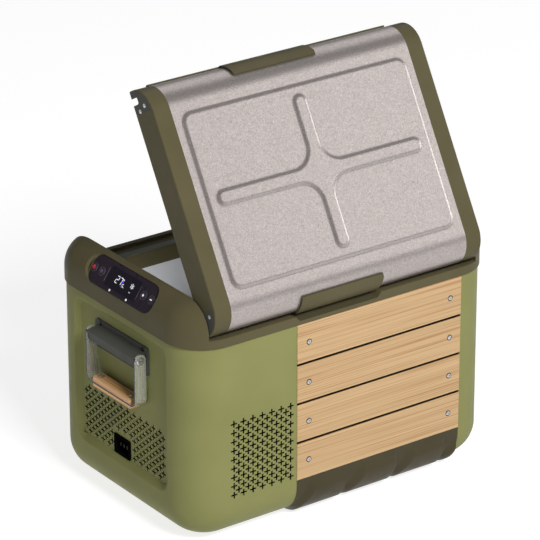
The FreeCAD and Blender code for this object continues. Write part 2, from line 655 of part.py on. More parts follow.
def insulation_foam():
    foam = shell_cavity().common(box(-HALF_L, HALF_L, -HALF_D, HALF_D, 0, RIM_Z - 0.2))
    skirt = slab(MOUTH_X + 4.2, MOUTH_Y + 4.2, MOUTH_R + 4.2, SKIRT_BOTTOM - 0.2, RIM_Z)
    band = prism(corners(TUB_STEP_X - 5.2, MOUTH_X + 5.2, -MOUTH_Y - 5.2, MOUTH_Y + 5.2),
                 MOUTH_R + 5.2, "z", 91.8, 240.2)
    bores = [rod((x, side * (HALF_D + 2), z), (x, side * (HALF_D - 14), z), 2.2)
             for side in (-1, 1) for x, z in slat_screw_places()]
    return foam.cut([bay_box(), tub_space(TUB_WALL + 0.1, RIM_Z), skirt, band] + bores)


def compressor():
    """Hermetic can on a foot plate, with its terminal box on the +X side."""
    x, y, base = COMPRESSOR_AT
    can = rod((x, y, base), (x, y, base + COMPRESSOR_H), COMPRESSOR_R)
    can = can.makeFillet(26.0, [e for e in can.Edges if len(e.Vertexes) == 1])
    legs = box(x - LEG_SPAN_X - 12, x + LEG_SPAN_X + 8, y - LEG_SPAN_Y - 10,
               y + LEG_SPAN_Y + 10, base - 4, base + 6)
    terminal = box(x + 40, x + 62, y - 16, y + 16, base + 50, base + 86)
    inside = rod((x, y, base + COMPRESSOR_WALL), (x, y, base + COMPRESSOR_H - COMPRESSOR_WALL),
                 COMPRESSOR_R - COMPRESSOR_WALL)
    return union(can, legs, terminal).cut(inside)


def compressor_mounts():
    """Four rubber grommets between the compressor and the tray."""
    x, y, base = COMPRESSOR_AT
    low = TRAY_Z + TRAY_T
    return [rod((x + dx, y + dy, low), (x + dx, y + dy, base - 4), 8.0)
            for dx in (-LEG_SPAN_X - 2, LEG_SPAN_X - 2) for dy in (-LEG_SPAN_Y, LEG_SPAN_Y)]


def base_tray():
    tray = box(TRAY_X0, BAY_END_X - 2, -TRAY_HALF_Y, TRAY_HALF_Y, TRAY_Z, TRAY_Z + TRAY_T)
    lip = box(TRAY_X0, TRAY_X0 + TRAY_T, -TRAY_HALF_Y, TRAY_HALF_Y, TRAY_Z, TRAY_Z + 8)
    return union(tray, lip)


def condenser():
    """Finned block that the fan draws air through, behind the end grille."""
    (y0, y1), (z0, z1), border = CONDENSER_Y, CONDENSER_Z, 4.0
    x1 = CONDENSER_X + CONDENSER_T
    fins = int((y1 - y0 - 2 * border) / FIN_PITCH)
    gaps = [box(CONDENSER_X - 1, x1 + 1, y, y + FIN_GAP, z0 + border, z1 - border)
            for y in (y0 + border + i * FIN_PITCH for i in range(fins))]
    middle = CONDENSER_X + CONDENSER_T / 2
    tubes = [rod((middle, y0 + 1, z), (middle, y1 - 1, z), PIPE_R)
             for z in (z0 + 12 + i * TUBE_PITCH for i in range(5))]
    return union(box(CONDENSER_X, x1, y0, y1, z0, z1).cut(gaps), *tubes)


def fan_shroud():
    """Square frame with four spokes, a hub and the rotor's spindle."""
    x, y, z = FAN_AT
    frame = prism(corners(y - FAN_HALF, y + FAN_HALF, z - FAN_HALF, z + FAN_HALF),
                  6.0, "x", x - 10, x + 10)
    frame = frame.cut(rod((x - 12, y, z), (x + 12, y, z), FAN_R + 1.5))
    reach, half = FAN_HALF - 2, 2.5
    spokes = [box(x + 7, x + 10, y - reach, y + reach, z - half, z + half),
              box(x + 7, x + 10, y - half, y + half, z - reach, z + reach)]
    hub = rod((x + 7, y, z), (x + 10, y, z), FAN_HUB_R)
    spindle = rod((x - 6, y, z), (x + 8, y, z), 2.5)
    return union(frame, hub, spindle, *spokes)


def fan_rotor():
    x, y, z = FAN_AT
    hub = rod((x - 9, y, z), (x + 6, y, z), FAN_HUB_R)
    blades = []
    for index in range(FAN_BLADES):
        blade = box(-0.8, 0.8, FAN_HUB_R - 2, FAN_R, -9.0, 9.0)
        blade.rotate(Vector(0, 0, 0), Vector(0, 1, 0), BLADE_PITCH)
        blade.rotate(Vector(0, 0, 0), Vector(1, 0, 0), index * 360 / FAN_BLADES)
        blade.translate(Vector(x - 1.5, y, z))
        blades.append(blade)
    bore = rod((x - 6.3, y, z), (x + 9, y, z), 2.55)
    disc = rod((x - 9, y, z), (x + 6, y, z), FAN_R)
    return union(hub, *blades).common(disc).cut(bore)


def power_board():
    """Compressor's driver in its box, with cooling ribs."""
    (x0, x1), (y0, y1), (z0, z1) = BOARD_X, BOARD_Y, BOARD_Z
    count = int((x1 - x0 - 4) / RIB_PITCH)
    ribs = [box(x, x + RIB_T, y0 + 4, y1 - 4, z1, RIB_TOP)
            for x in (x0 + 4 + i * RIB_PITCH for i in range(count))]
    return union(box(x0, x1, y0, y1, z0, z1), *ribs)


def pipe(points, radius, bend):
    """Tube of straight runs joined by tangent arcs."""
    stops = [Vector(*p) for p in points]
    edges, start = [], stops[0]
    for before, corner, after in zip(stops, stops[1:], stops[2:]):
        back, ahead = (before - corner).normalize(), (after - corner).normalize()
        half = back.getAngle(ahead) / 2
        first = corner + back * (bend / math.tan(half))
        last = corner + ahead * (bend / math.tan(half))
        centre = corner + (back + ahead).normalize() * (bend / math.sin(half))
        mid = centre + (corner - centre).normalize() * bend
        edges += [Part.makeLine(start, first), Part.Arc(first, mid, last).toShape()]
        start = last
    edges.append(Part.makeLine(start, stops[-1]))
    ring = Part.Wire(Part.makeCircle(radius, stops[0], stops[1] - stops[0]))
    return Part.Wire(edges).makePipeShell([ring], True, False)


def discharge_pipe():
    """From the compressor's top up and across to the condenser."""
    x, y, base = COMPRESSOR_AT
    out_x = CONDENSER_X + CONDENSER_T / 2
    return pipe([(x, y, base + COMPRESSOR_H + 0.2), (x, y, PIPE_Z), (x, y + 42, PIPE_Z),
                 (out_x, y + 42, PIPE_Z), (out_x, CONDENSER_Y[0] - 0.1, PIPE_Z)], PIPE_R, 10.0)


def suction_pipe():
    """From the bay's end wall back to the compressor's side."""
    x, y, base = COMPRESSOR_AT
    run_y, low = y + 70, base + 78
    return pipe([(BAY_END_X - 0.5, run_y, 200), (x + 40, run_y, 200), (x + 40, run_y, low),
                 (x, run_y, low), (x, y + COMPRESSOR_R + 0.5, low)], SUCTION_R, 6.0)


def rubber_feet():
    return [prism(corners(FOOT_X[0], FOOT_X[1], side * FOOT_Y - FOOT_HALF,
                          side * FOOT_Y + FOOT_HALF), 8.0, "z", 0, SHELL_BOTTOM_Z)
            for side in (-1, 1)]


# ---- lid (closed) -------------------------------------------------------
def lid_section(inset, x0, x1, bottom=LID_BOTTOM):
    half, top, radius = LID_HALF_Y - inset, LID_TOP - inset, LID_R - inset
    points = [(-half, bottom), (half, bottom), (half, top), (-half, top)]
    return prism(points, [0, 0, radius, radius], "x", x0, x1)


def corner_pocket(inset, x0, x1):
    """Front corner pocket of one lid end, that the hinge pin enters."""
    half, top, radius = LID_HALF_Y - inset, LID_TOP - inset, LID_R - inset
    inner_y = -158 - inset
    points = [(-half, LID_BOTTOM - 2), (inner_y, LID_BOTTOM - 2),
              (inner_y, LID_BOTTOM + 46), (-176, top), (-half, top)]
    block = prism([(-half, LID_BOTTOM - 2), (0, LID_BOTTOM - 2), (0, top), (-half, top)],
                  [0, 0, 0, radius], "x", x0, x1)
    return block.common(prism(points, 0, "x", x0, x1))


def latch_space(room=0.0):
    """Space for the front latch's shaft and ears, widened by room."""
    shaft = rod((-POCKET_X - 1, -LATCH_Y, LATCH_Z), (POCKET_X + 1, -LATCH_Y, LATCH_Z),
                LATCH_R + 0.6 + room)
    ears = [box(x - 4 - room, x + 4 + room, -LATCH_Y - 30, -LATCH_Y + 4.8 + room,
                LATCH_Z - 11.0 - room, LATCH_Z + 4.8 + room) for x in LATCH_EARS]
    return [shaft] + ears


def pocket_cuts():
    tools = []
    for end in (-1, 1):
        x0, x1 = sorted((end * POCKET_X, end * (LID_HALF_X + 1)))
        tools.append(corner_pocket(2.5, x0, x1))
    return tools


def both_sides(tools):
    return tools + [mirrored(tool, "y") for tool in tools]


def screw_holes(radius):
    """Bores for the hook plates' screws, in all four lid corners."""
    return [rod((end * (LID_HALF_X + 2), side * y, z), (end * (POCKET_X - 12), side * y, z),
                radius)
            for end in (-1, 1) for side in (-1, 1) for y, z in HOOK_SCREWS]


def lid_frame():
    frame = lid_section(0, -LID_HALF_X, LID_HALF_X)
    ends = [e for e in frame.Edges
            if all(abs(abs(v.X) - LID_HALF_X) < 1e-4 and v.Z > LID_BOTTOM + 1
                   for v in e.Vertexes)]
    frame = frame.makeFillet(2.0, ends)
    cavity = lid_section(4.0, -POCKET_X + 4, POCKET_X - 4, LID_BOTTOM - 1)
    skin = lid_section(-1, -SHEET_HALF_X, SHEET_HALF_X, LID_BOTTOM + 4).cut(
        lid_section(SHEET_T, -SHEET_HALF_X - 1, SHEET_HALF_X + 1, LID_BOTTOM))
    tools = [cavity, skin] + both_sides(pocket_cuts() + latch_space()) + screw_holes(1.6)
    return frame.cut(tools)


def lid_sheet():
    """Metal skin over the lid, with the raised field and the cross bead."""
    sheet = lid_section(0, -SHEET_HALF_X, SHEET_HALF_X, LID_BOTTOM + 4).cut(
        lid_section(SHEET_T, -SHEET_HALF_X - 1, SHEET_HALF_X + 1, LID_BOTTOM))

    def ring(grow, z):
        return outline(corners(-FIELD_X - grow, FIELD_X + grow, -FIELD_Y - grow, FIELD_Y + grow),
                       12.0 + grow, on_z(z))
    field_top = LID_TOP + FIELD_RISE
    field = Part.makeLoft([ring(5, LID_TOP - 0.5), ring(0, field_top)], True, True)
    z0, z1 = field_top - 0.5, field_top + 2.5
    end_r = CROSS_ARM - 0.01
    long_arm = prism(corners(-CROSS_X, CROSS_X, -CROSS_ARM, CROSS_ARM), end_r, "z", z0, z1)
    short_arm = prism(corners(-CROSS_ARM, CROSS_ARM, -CROSS_Y, CROSS_Y), end_r, "z", z0, z1)
    reach = CROSS_ARM + CROSS_BEND
    middle = slab(reach, reach, 0, z0, z1).cut(
        [rod((sx * reach, sy * reach, z0 - 1), (sx * reach, sy * reach, z1 + 1), CROSS_BEND)
         for sx in (-1, 1) for sy in (-1, 1)])
    cross = union(long_arm, short_arm, middle)
    hollow = slab(FIELD_X - 4, FIELD_Y - 4, 10.0, LID_TOP - SHEET_T - 1,
                  field_top - SHEET_T)
    return union(sheet, field, cross).cut(both_sides(latch_space()) + [hollow])


def lid_inner_panel():
    return slab(POCKET_X - 4, LID_HALF_Y - 4, 3.0, LID_BOTTOM, LID_BOTTOM + 2.5)


def lid_foam():
    foam = lid_section(4.0, -POCKET_X + 4, POCKET_X - 4, LID_BOTTOM + 2.5)
    return foam.cut(both_sides(latch_space(room=2.0)))


def lid_gasket():
    outer = slab(250.0, 186.0, 22.0, RIM_Z + 11.0, LID_BOTTOM)
    inner = slab(240.0, 176.0, 14.0, RIM_Z + 10.0, LID_BOTTOM + 1)
    return outer.cut(inner)


def hook_plates():
    """Front pair of steel plates whose notches drop over the hinge pins."""
    notch = prism([(-PIN_Y - 5.5, LID_BOTTOM - 4), (-PIN_Y + 5.5, LID_BOTTOM - 4),
                   (-PIN_Y + 5.5, PIN_Z + 7.5), (-PIN_Y - 5.5, PIN_Z + 7.5)],
                  [0, 0, 3.0, 3.0], "x", -LID_HALF_X - 5, LID_HALF_X + 5)
    plates = []
    for end in (-1, 1):
        x0, x1 = sorted((end * (LID_HALF_X - HOOK_T), end * LID_HALF_X))
        plate = corner_pocket(2.7, x0, x1)
        plate = plate.common(box(-300, 300, -300, 0, LID_BOTTOM, LID_TOP))
        plates.append(plate.cut([notch] + screw_holes(1.6)))
    return plates


def hook_screws():
    """Two screws for each of the four hook plates."""
    parts = []
    for end in (-1, 1):
        for side in (-1, 1):
            for y, z in HOOK_SCREWS:
                item = screw(end * LID_HALF_X, side * y, z, (end, 0, 0), 2.8, 0.9, 1.6, 13.0)
                parts.append(item)
    return parts


def latch_shaft():
    """Front latch's cross shaft with a keeper finger at each end."""
    shaft = rod((-POCKET_X - 8, -LATCH_Y, LATCH_Z), (POCKET_X + 8, -LATCH_Y, LATCH_Z),
                LATCH_R)
    tip_y, tip_z = -PIN_Y, PIN_Z + PIN_R + 0.8
    points = [(-LATCH_Y + 4.2, LATCH_Z), (-LATCH_Y - 3.5, LATCH_Z - 0.5),
              (tip_y - 2, tip_z + 6), (tip_y - 3, tip_z), (tip_y + 3, tip_z),
              (tip_y + 5, tip_z + 6)]
    fingers = []
    for end in (-1, 1):
        x0, x1 = sorted((end * 254.5, end * 257.5))
        fingers.append(prism(points, 0, "x", x0, x1))
    return union(shaft, *fingers)


def latch_grip():
    """Front grip: a curved lever over the lid's round edge, with a finger lip."""
    centre_y, centre_z = -LID_HALF_Y + LID_R, LID_TOP - LID_R
    inner, outer, top_angle = LID_R + 0.9, LID_R + 4.0, math.radians(56)

    def at(radius, angle):
        return Vector(0, centre_y - radius * math.cos(angle),
                      centre_z + radius * math.sin(angle))
    foot_z = RIM_Z + LATCH_FOOT
    wire = Part.Wire([
        Part.Arc(at(outer, 0), at(outer, top_angle / 2), at(outer, top_angle)).toShape(),
        Part.makeLine(at(outer, top_angle), at(inner, top_angle)),
        Part.Arc(at(inner, top_angle), at(inner, top_angle / 2), at(inner, 0)).toShape(),
        Part.makeLine(at(inner, 0), Vector(0, centre_y - inner, foot_z)),
        Part.makeLine(Vector(0, centre_y - inner, foot_z),
                      Vector(0, centre_y - outer, foot_z)),
        Part.makeLine(Vector(0, centre_y - outer, foot_z), at(outer, 0))])
    x0, x1 = LATCH_X - LATCH_GRIP_HALF, LATCH_X + LATCH_GRIP_HALF
    wire.translate(Vector(x0, 0, 0))
    lever = Part.Face(wire).extrude(Vector(x1 - x0, 0, 0))
    lever = lever.common(prism(corners(x0, x1, foot_z, at(outer, top_angle).z),
                               [16, 16, 5, 5], "y", centre_y - outer - 1, centre_y))
    ears = []
    for x in LATCH_EARS:
        arm = prism([(-LATCH_Y + 3, LATCH_Z - 3), (-LATCH_Y - 3, LATCH_Z + 2),
                     (-LATCH_Y - 22, LATCH_Z - 2), (-LATCH_Y - 26, LATCH_Z - 9),
                     (-LATCH_Y - 4, LATCH_Z - 8)], 0, "x", x - 2.5, x + 2.5)
        boss = rod((x - 2.5, -LATCH_Y, LATCH_Z), (x + 2.5, -LATCH_Y, LATCH_Z), 4.2)
        ears.append(union(arm, boss))
    bore = rod((x0, -LATCH_Y, LATCH_Z), (x1, -LATCH_Y, LATCH_Z), LATCH_R)
    # the ears end inside the lever's wall
    reach = rod((x0, centre_y, centre_z), (x1, centre_y, centre_z), outer - 0.5)
    return union(lever, *[ear.common(reach) for ear in ears]).cut(bore)


# ---- write every node ---------------------------------------------------
def write_housing():
    export("outer_shell", outer_shell())
    export("front_vent_grille", front_vent_grille())
    export("end_vent_grille", end_vent_grille())
    for index in range(SLAT_COUNT):
        export(f"front_slat_{index + 1}", slat(index, -1))
    export("rear_slats", *[slat(index, 1) for index in range(SLAT_COUNT)])
    export("slat_screws", *slat_screws(-1), *slat_screws(1))
    bumper = front_bumper()
    export("front_bumper", bumper)
    export("rear_bumper", mirrored(bumper, "y"))
    export("rubber_feet", *rubber_feet())
    export("rim_frame", rim_frame())
    seal = slab(MOUTH_X + SEAL_WIDTH, MOUTH_Y + SEAL_WIDTH, MOUTH_R + SEAL_WIDTH,
                DECK_TOP, DECK_TOP + SEAL_HEIGHT)
    export("rim_seal", seal.cut(slab(MOUTH_X + 1, MOUTH_Y + 1, MOUTH_R + 1,
                                     DECK_TOP - 1, DECK_TOP + SEAL_HEIGHT + 1)))
    export("left_cheek", left_cheek(True))
    export("right_cheek", mirrored(left_cheek(False), "x"))
    export("hinge_pins", *hinge_pins())
    export("power_socket", power_socket())
    export("socket_pins", *socket_pins())


def write_panel():
    export("control_panel", control_panel())
    export("display_lens", display_lens())
    export("display_board", display_board())
    export("status_lights", *status_lights())
    for name, u in zip(BUTTON_NAMES, BUTTON_U):
        export(name, panel_button(u))


def write_handles():
    pieces = {
        "handle_bracket": [handle_bracket()],
        "handle_strap": [handle_strap()],
        "handle_grips": wood_grips(),
        "handle_grip_screws": grip_screws(),
    }
    for name, solids in pieces.items():
        export("left_" + name, *solids)
        export("right_" + name, *[mirrored(solid, "x") for solid in solids])
    for name, solids in (("bracket_screws", bracket_screws()), ("pivot_bolts", pivot_bolts())):
        export("handle_" + name, *solids, *[mirrored(solid, "x") for solid in solids])


def write_interior():
    export("liner_tub", liner_tub())
    export("interior_light", light_block(0))
    export("insulation_foam", insulation_foam())
    export("evaporator", evaporator())
    export("compressor", compressor())
    export("compressor_mounts", *compressor_mounts())
    export("base_tray", base_tray())
    export("condenser", condenser())
    export("fan_shroud", fan_shroud())
    export("fan_rotor", fan_rotor())
    export("power_board", power_board())
    export("refrigerant_pipes", discharge_pipe(), suction_pipe())


def write_lid():
    export("lid_frame", opened(lid_frame()))
    export("lid_sheet", opened(lid_sheet()))
    export("lid_inner_panel", opened(lid_inner_panel()))
    export("lid_foam", opened(lid_foam()))
    export("lid_gasket", opened(lid_gasket()))
    front = hook_plates()
    export("hook_plates", *[opened(plate) for plate in both_sides(front)])
    export("hook_screws", *[opened(item) for item in hook_screws()])
    shaft, grip = latch_shaft(), latch_grip()
    export("front_latch_shaft", opened(shaft))
    export("rear_latch_shaft", opened(mirrored(shaft, "y")))
    export("front_latch_grip", opened(grip))
    export("rear_latch_grip", opened(mirrored(grip, "y")))


write_housing()
write_panel()
write_handles()
write_interior()
write_lid()
print(len(os.listdir("parts")), "nodes")
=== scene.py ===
import bpy
import bmesh
import json
import math
from mathutils import Matrix, Vector


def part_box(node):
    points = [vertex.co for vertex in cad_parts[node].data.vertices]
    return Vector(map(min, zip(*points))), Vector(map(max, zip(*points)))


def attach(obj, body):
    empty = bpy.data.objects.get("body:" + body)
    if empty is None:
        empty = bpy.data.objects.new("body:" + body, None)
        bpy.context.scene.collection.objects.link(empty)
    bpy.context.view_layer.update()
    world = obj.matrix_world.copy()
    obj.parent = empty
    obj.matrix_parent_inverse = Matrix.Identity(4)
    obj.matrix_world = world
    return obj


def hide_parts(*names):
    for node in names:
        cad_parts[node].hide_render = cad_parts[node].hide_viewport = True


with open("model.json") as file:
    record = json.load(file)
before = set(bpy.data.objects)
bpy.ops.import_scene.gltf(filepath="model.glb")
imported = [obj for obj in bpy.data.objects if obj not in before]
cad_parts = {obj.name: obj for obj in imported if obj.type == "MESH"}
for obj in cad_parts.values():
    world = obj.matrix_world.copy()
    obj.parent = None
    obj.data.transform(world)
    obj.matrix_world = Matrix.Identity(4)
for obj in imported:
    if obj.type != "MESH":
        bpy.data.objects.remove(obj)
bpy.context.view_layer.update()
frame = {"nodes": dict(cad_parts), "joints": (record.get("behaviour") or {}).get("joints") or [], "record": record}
nodes = frame["nodes"]
MM = 0.001
SLOT_OF = {row["node"]: row["material_slot"] for row in frame["record"]["subparts"]}
RECORD_SLOTS = {row["slot"] for row in frame["record"]["materials"]}
BODY_OF = {node: body for body, members in frame["record"]["behaviour"]["bodies"].items()
           for node in members}
JOINTS = {joint["name"]: joint for joint in frame["joints"]}
SHELL_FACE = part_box("outer_shell")[0].y          # the housing's flat front


# ---- materials ----------------------------------------------------------
NOISE_LOW, NOISE_HIGH = 0.3, 0.7                 # nearly all of a noise's values lie between these


def tone(red, green, blue):
    """Linear colour from the 0-255 values a paint chart gives."""
    def linear(value):
        value /= 255
        return value / 12.92 if value <= 0.04045 else ((value + 0.055) / 1.055) ** 2.4
    return (linear(red), linear(green), linear(blue), 1.0)


class Finish:
    """A material under construction, with short calls for its layers."""

    def __init__(self, name, roughness=0.5, **constants):
        self.material = bpy.data.materials.new(name)
        self.material.use_nodes = True
        self.nodes = self.material.node_tree.nodes
        self.links = self.material.node_tree.links
        self.shader = self.nodes["Principled BSDF"]
        self.shader.inputs["Roughness"].default_value = roughness
        for socket, value in constants.items():
            self.shader.inputs[socket.replace("_", " ")].default_value = value
        self.place = self.nodes.new("ShaderNodeTexCoord").outputs["Object"]
        self.height = None

    def noise(self, size, stretch=(1, 1, 1), detail=2.0):
        """Noise whose features are about size metres, times stretch along each axis."""
        mapping = self.nodes.new("ShaderNodeMapping")
        mapping.inputs["Scale"].default_value = [1 / (size * s) for s in stretch]
        self.links.new(self.place, mapping.inputs["Vector"])
        texture = self.nodes.new("ShaderNodeTexNoise")
        texture.inputs["Scale"].default_value = 1.0
        texture.inputs["Detail"].default_value = detail
        self.links.new(mapping.outputs["Vector"], texture.inputs["Vector"])
        return texture.outputs["Fac"]

    def ramp(self, factor, low, high, start, end):
        """Spread factor between low and high over start to end."""
        node = self.nodes.new("ShaderNodeMapRange")
        self.links.new(factor, node.inputs["Value"])
        for socket, value in (("From Min", low), ("From Max", high), ("To Min", start), ("To Max", end)):
            node.inputs[socket].default_value = value
        return node.outputs["Result"]

    def spread(self, noise, start=0.0, end=1.0):
        """Spread a noise's usual values over start to end."""
        return self.ramp(noise, NOISE_LOW, NOISE_HIGH, start, end)

    def along(self, axis):
        """Object coordinate along X, Y or Z."""
        split = self.nodes.new("ShaderNodeSeparateXYZ")
        self.links.new(self.place, split.inputs[0])
        return split.outputs[axis]

    def mix(self, factor, first, second):
        node = self.nodes.new("ShaderNodeMix")
        node.data_type = "RGBA"
        self.links.new(factor, node.inputs["Factor"])
        for socket, value in ((node.inputs[6], first), (node.inputs[7], second)):
            if isinstance(value, tuple):
                socket.default_value = value
            else:
                self.links.new(value, socket)
        return node.outputs[2]

    def math(self, operation, *values):
        node = self.nodes.new("ShaderNodeMath")
        node.operation = operation
        for socket, value in zip(node.inputs, values):
            if isinstance(value, (int, float)):
                socket.default_value = value
            else:
                self.links.new(value, socket)
        return node.outputs[0]

    def between(self, value, low, high, signed=False):
        """1 where value, or its size if it isn't signed, lies from low to high."""
        size = value if signed else self.math("ABSOLUTE", value)
        return self.math("MULTIPLY", self.math("GREATER_THAN", size, low),
                         self.math("LESS_THAN", size, high))

    def colour(self, socket):
        self.links.new(socket, self.shader.inputs["Base Color"])
        return self

    def rough(self, factor, start, end):
        self.links.new(self.spread(factor, start, end), self.shader.inputs["Roughness"])
        return self

    def bump(self, factor, depth, strength=1.0):
        """Add a height of depth metres; later calls lie on earlier ones."""
        node = self.nodes.new("ShaderNodeBump")
        node.inputs["Strength"].default_value = strength
        node.inputs["Distance"].default_value = depth
        self.links.new(factor, node.inputs["Height"])
        if self.height:
            self.links.new(self.height, node.inputs["Normal"])
        self.height = node.outputs["Normal"]
        self.links.new(self.height, self.shader.inputs["Normal"])
        return self


def plastic(name, dark, light, roughness, grain=0.0009, depth=0.00006, **constants):
    """Moulded plastic and its colour: slow drift over a fine spark-eroded grain."""
    finish = Finish(name, roughness, **{"Specular_IOR_Level": 0.06, **constants})
    paint = finish.mix(finish.spread(finish.noise(0.09)), tone(*dark), tone(*light))
    finish.rough(finish.noise(0.02), roughness - 0.05, roughness + 0.06)
    finish.bump(finish.noise(grain), depth)
    return finish, paint


def moulded(*look, **constants):
    finish, paint = plastic(*look, **constants)
    return finish.colour(paint).material


def green_shell():
    """Green plastic, with painted shade on the floor of the beds that the slats lie in, so the gaps between slats
    read dark.
    """
    finish, paint = plastic("Green moulded shell", (114, 115, 71), (119, 120, 75), 0.46)
    slat_low, slat_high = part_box("front_slat_1")
    floor_at = abs(slat_high.y)
    bed_floor = finish.between(finish.along("Y"), floor_at - 1.0 * MM, floor_at + 1.5 * MM)
    bed_length = finish.between(finish.along("X"), slat_low.x, slat_high.x, True)
    gap_shade_mask = finish.math("MULTIPLY", bed_floor, bed_length)
    # the near-black tone is painted shade, seen in the gaps between the slats
    return finish.colour(finish.mix(gap_shade_mask, paint, tone(18, 19, 12))).material


def board_wood(name, dark, light, line, along, shaded_below=0.0):
    """Straight-grained wood; along is the axis the grain follows (0 x, 1 y).

    Boards get painted shade where they lie nearer to the middle plane than the last argument gives, on their sides
    sunk between the slats.
    """
    finish = Finish(name, 0.52, Specular_IOR_Level=0.35)
    # size across the grain in metres, how many times longer it runs along it, and its detail
    figure, lines, sheen, pores = (0.0045, 90, 1.0), (0.0019, 170, 1.0), (0.003, 30), (0.0011, 60)

    def grain(size, length, detail=3.0):
        stretch = [1.0, 1.0, 1.0]
        stretch[along] = length
        return finish.noise(size, stretch, detail)
    body = finish.mix(finish.spread(grain(*figure)), tone(*dark), tone(*light))
    grained = finish.mix(finish.ramp(grain(*lines), 0.5, 0.68, 0.0, 0.8), body, tone(*line))
    if shaded_below:
        sunk_side_shade = finish.between(finish.along("Y"), 0.0, shaded_below)
        # painted shade on the board sides that sink into the gaps between slats
        grained = finish.mix(sunk_side_shade, grained, tone(34, 26, 16))
    finish.colour(grained)
    finish.rough(grain(*sheen), 0.46, 0.6)
    finish.bump(grain(*pores), 0.00012, 0.6)
    return finish.material


def metal(name, dark, light, roughness, grain, depth, stretch=(1, 1, 1), **constants):
    """Metal with a fine grain, brushed where stretch draws it out along an axis."""
    finish = Finish(name, roughness, **constants)
    finish.colour(finish.mix(finish.spread(finish.noise(grain * 2, stretch)),
                             tone(*dark), tone(*light)))
    finish.rough(finish.noise(0.004, stretch), roughness - 0.06, roughness + 0.06)
    finish.bump(finish.noise(grain, stretch), depth)
    return finish.material


def glow(name, shade, strength):
    """Lit display mark, slightly uneven as a backlight is."""
    finish = Finish(name, 0.4, Emission_Strength=strength)
    even = finish.mix(finish.noise(0.004), tone(*[value * 0.9 for value in shade]), tone(*shade))
    finish.links.new(even, finish.shader.inputs["Emission Color"])
    finish.colour(even)
    return finish.material


FINISHES = {
    "green_shell": green_shell(),
    "olive_frame": moulded("Dark olive frame", (76, 71, 50), (82, 76, 55), 0.42),
    "bumper_plastic": moulded("Dark olive bumper", (58, 53, 38), (64, 58, 42), 0.45,
                              Specular_IOR_Level=0.1),
    # slat sides behind the shell's face get painted shade
    "slat_wood": board_wood("Pale slat wood", (166, 136, 98), (178, 149, 110), (146, 104, 64), 0,
                            abs(SHELL_FACE) - 0.1 * MM),
    "grip_wood": board_wood("Oiled grip wood", (196, 150, 102), (214, 170, 120), (160, 112, 70), 1),
    # dark steel for the bracket screws, also laid on the straps' x-facing edges as painted shade
    "cut_edge": metal("Dark steel with painted edge shade", (52, 54, 58), (72, 74, 78), 0.3, 0.0005, 0.00002,
                      Metallic=1.0),
    # dark disc under screw heads, a painted shadow ring
    "screw_shadow": moulded("Dark screw seat", (34, 32, 28), (42, 40, 34), 0.6),
    "screw_steel": metal("Bright screw steel", (176, 176, 176), (212, 212, 210), 0.28, 0.0008,
                         0.00002, Metallic=0.85),
    "strap_steel": metal("Brushed strap steel", (226, 227, 220), (246, 246, 240), 0.26, 0.0005,
                         0.00003, (1, 1, 24), Metallic=0.83),
    "bracket_metal": moulded("Dark grey painted metal", (66, 67, 63), (74, 75, 70), 0.5),
    "lid_metal": metal("Grained lid sheet", (150, 142, 139), (176, 168, 165), 0.36, 0.0011,
                       0.00005, Metallic=0.8),
    "seal_rubber": moulded("Dark grey rubber", (98, 101, 92), (106, 109, 100), 0.55),
    "liner_plastic": moulded("Light grey liner", (196, 197, 199), (206, 207, 209), 0.45),
    # the foam is painted near-black as shade for the bay seen through the vents
    "foam": moulded("Dark closed-cell foam", (34, 32, 28), (44, 42, 36), 0.9, 0.002, 0.0003),
    "panel_gloss": moulded("Gloss black fascia", (32, 24, 34), (38, 30, 40), 0.3, 0.0006, 0.00001,
                           Specular_IOR_Level=0.2),
    "lens": moulded("Display lens", (20, 14, 26), (24, 18, 30), 0.25, 0.0006, 0.00001,
                    Specular_IOR_Level=0.2),
    "button_plastic": moulded("Satin black buttons", (50, 42, 52), (58, 50, 60), 0.3),
    "glow_white": glow("White display segments", (214, 216, 222), 0.75),
    "glow_blue": glow("Blue indicator", (70, 60, 235), 1.4),
    "glow_red": glow("Red power mark", (190, 32, 48), 0.7),
    # grey print, also drawn as thin rings round the keys as painted rim highlights
    "mark_grey": moulded("Grey printed mark", (104, 100, 108), (116, 112, 120), 0.5),
    "light_lens": moulded("Diffuse light lens", (225, 226, 228), (236, 236, 238), 0.4),
    "socket_plastic": moulded("Black socket plastic", (7, 7, 7), (11, 11, 11), 0.42,
                              Specular_IOR_Level=0.0),
    # the contacts are painted near-black as the shade deep inside the socket
    "contact_brass": metal("Contacts painted as socket shade", (26, 24, 22), (36, 34, 30), 0.5, 0.001,
                           0.00002, Metallic=0.8),
    "board": moulded("Lacquered board", (24, 74, 44), (32, 88, 52), 0.35),
    "black_metal": moulded("Black enamelled steel", (22, 22, 22), (30, 30, 30), 0.4),
    "tray_steel": metal("Zinc-plated tray", (140, 142, 144), (162, 164, 166), 0.45, 0.002,
                        0.00004, Metallic=0.8),
    "coil_aluminium": metal("Black-coated aluminium", (20, 20, 21), (30, 30, 31), 0.5, 0.002,
                            0.00003, Metallic=0.2),
    "fan_plastic": moulded("Black fan plastic", (24, 24, 25), (32, 32, 33), 0.45),
    "pipe_copper": metal("Copper pipe", (170, 98, 66), (196, 120, 84), 0.32, 0.002, 0.00003,
                         Metallic=1.0),
}
for node, item in nodes.items():
    item.data.materials.clear()
    item.data.materials.append(FINISHES[SLOT_OF[node]])


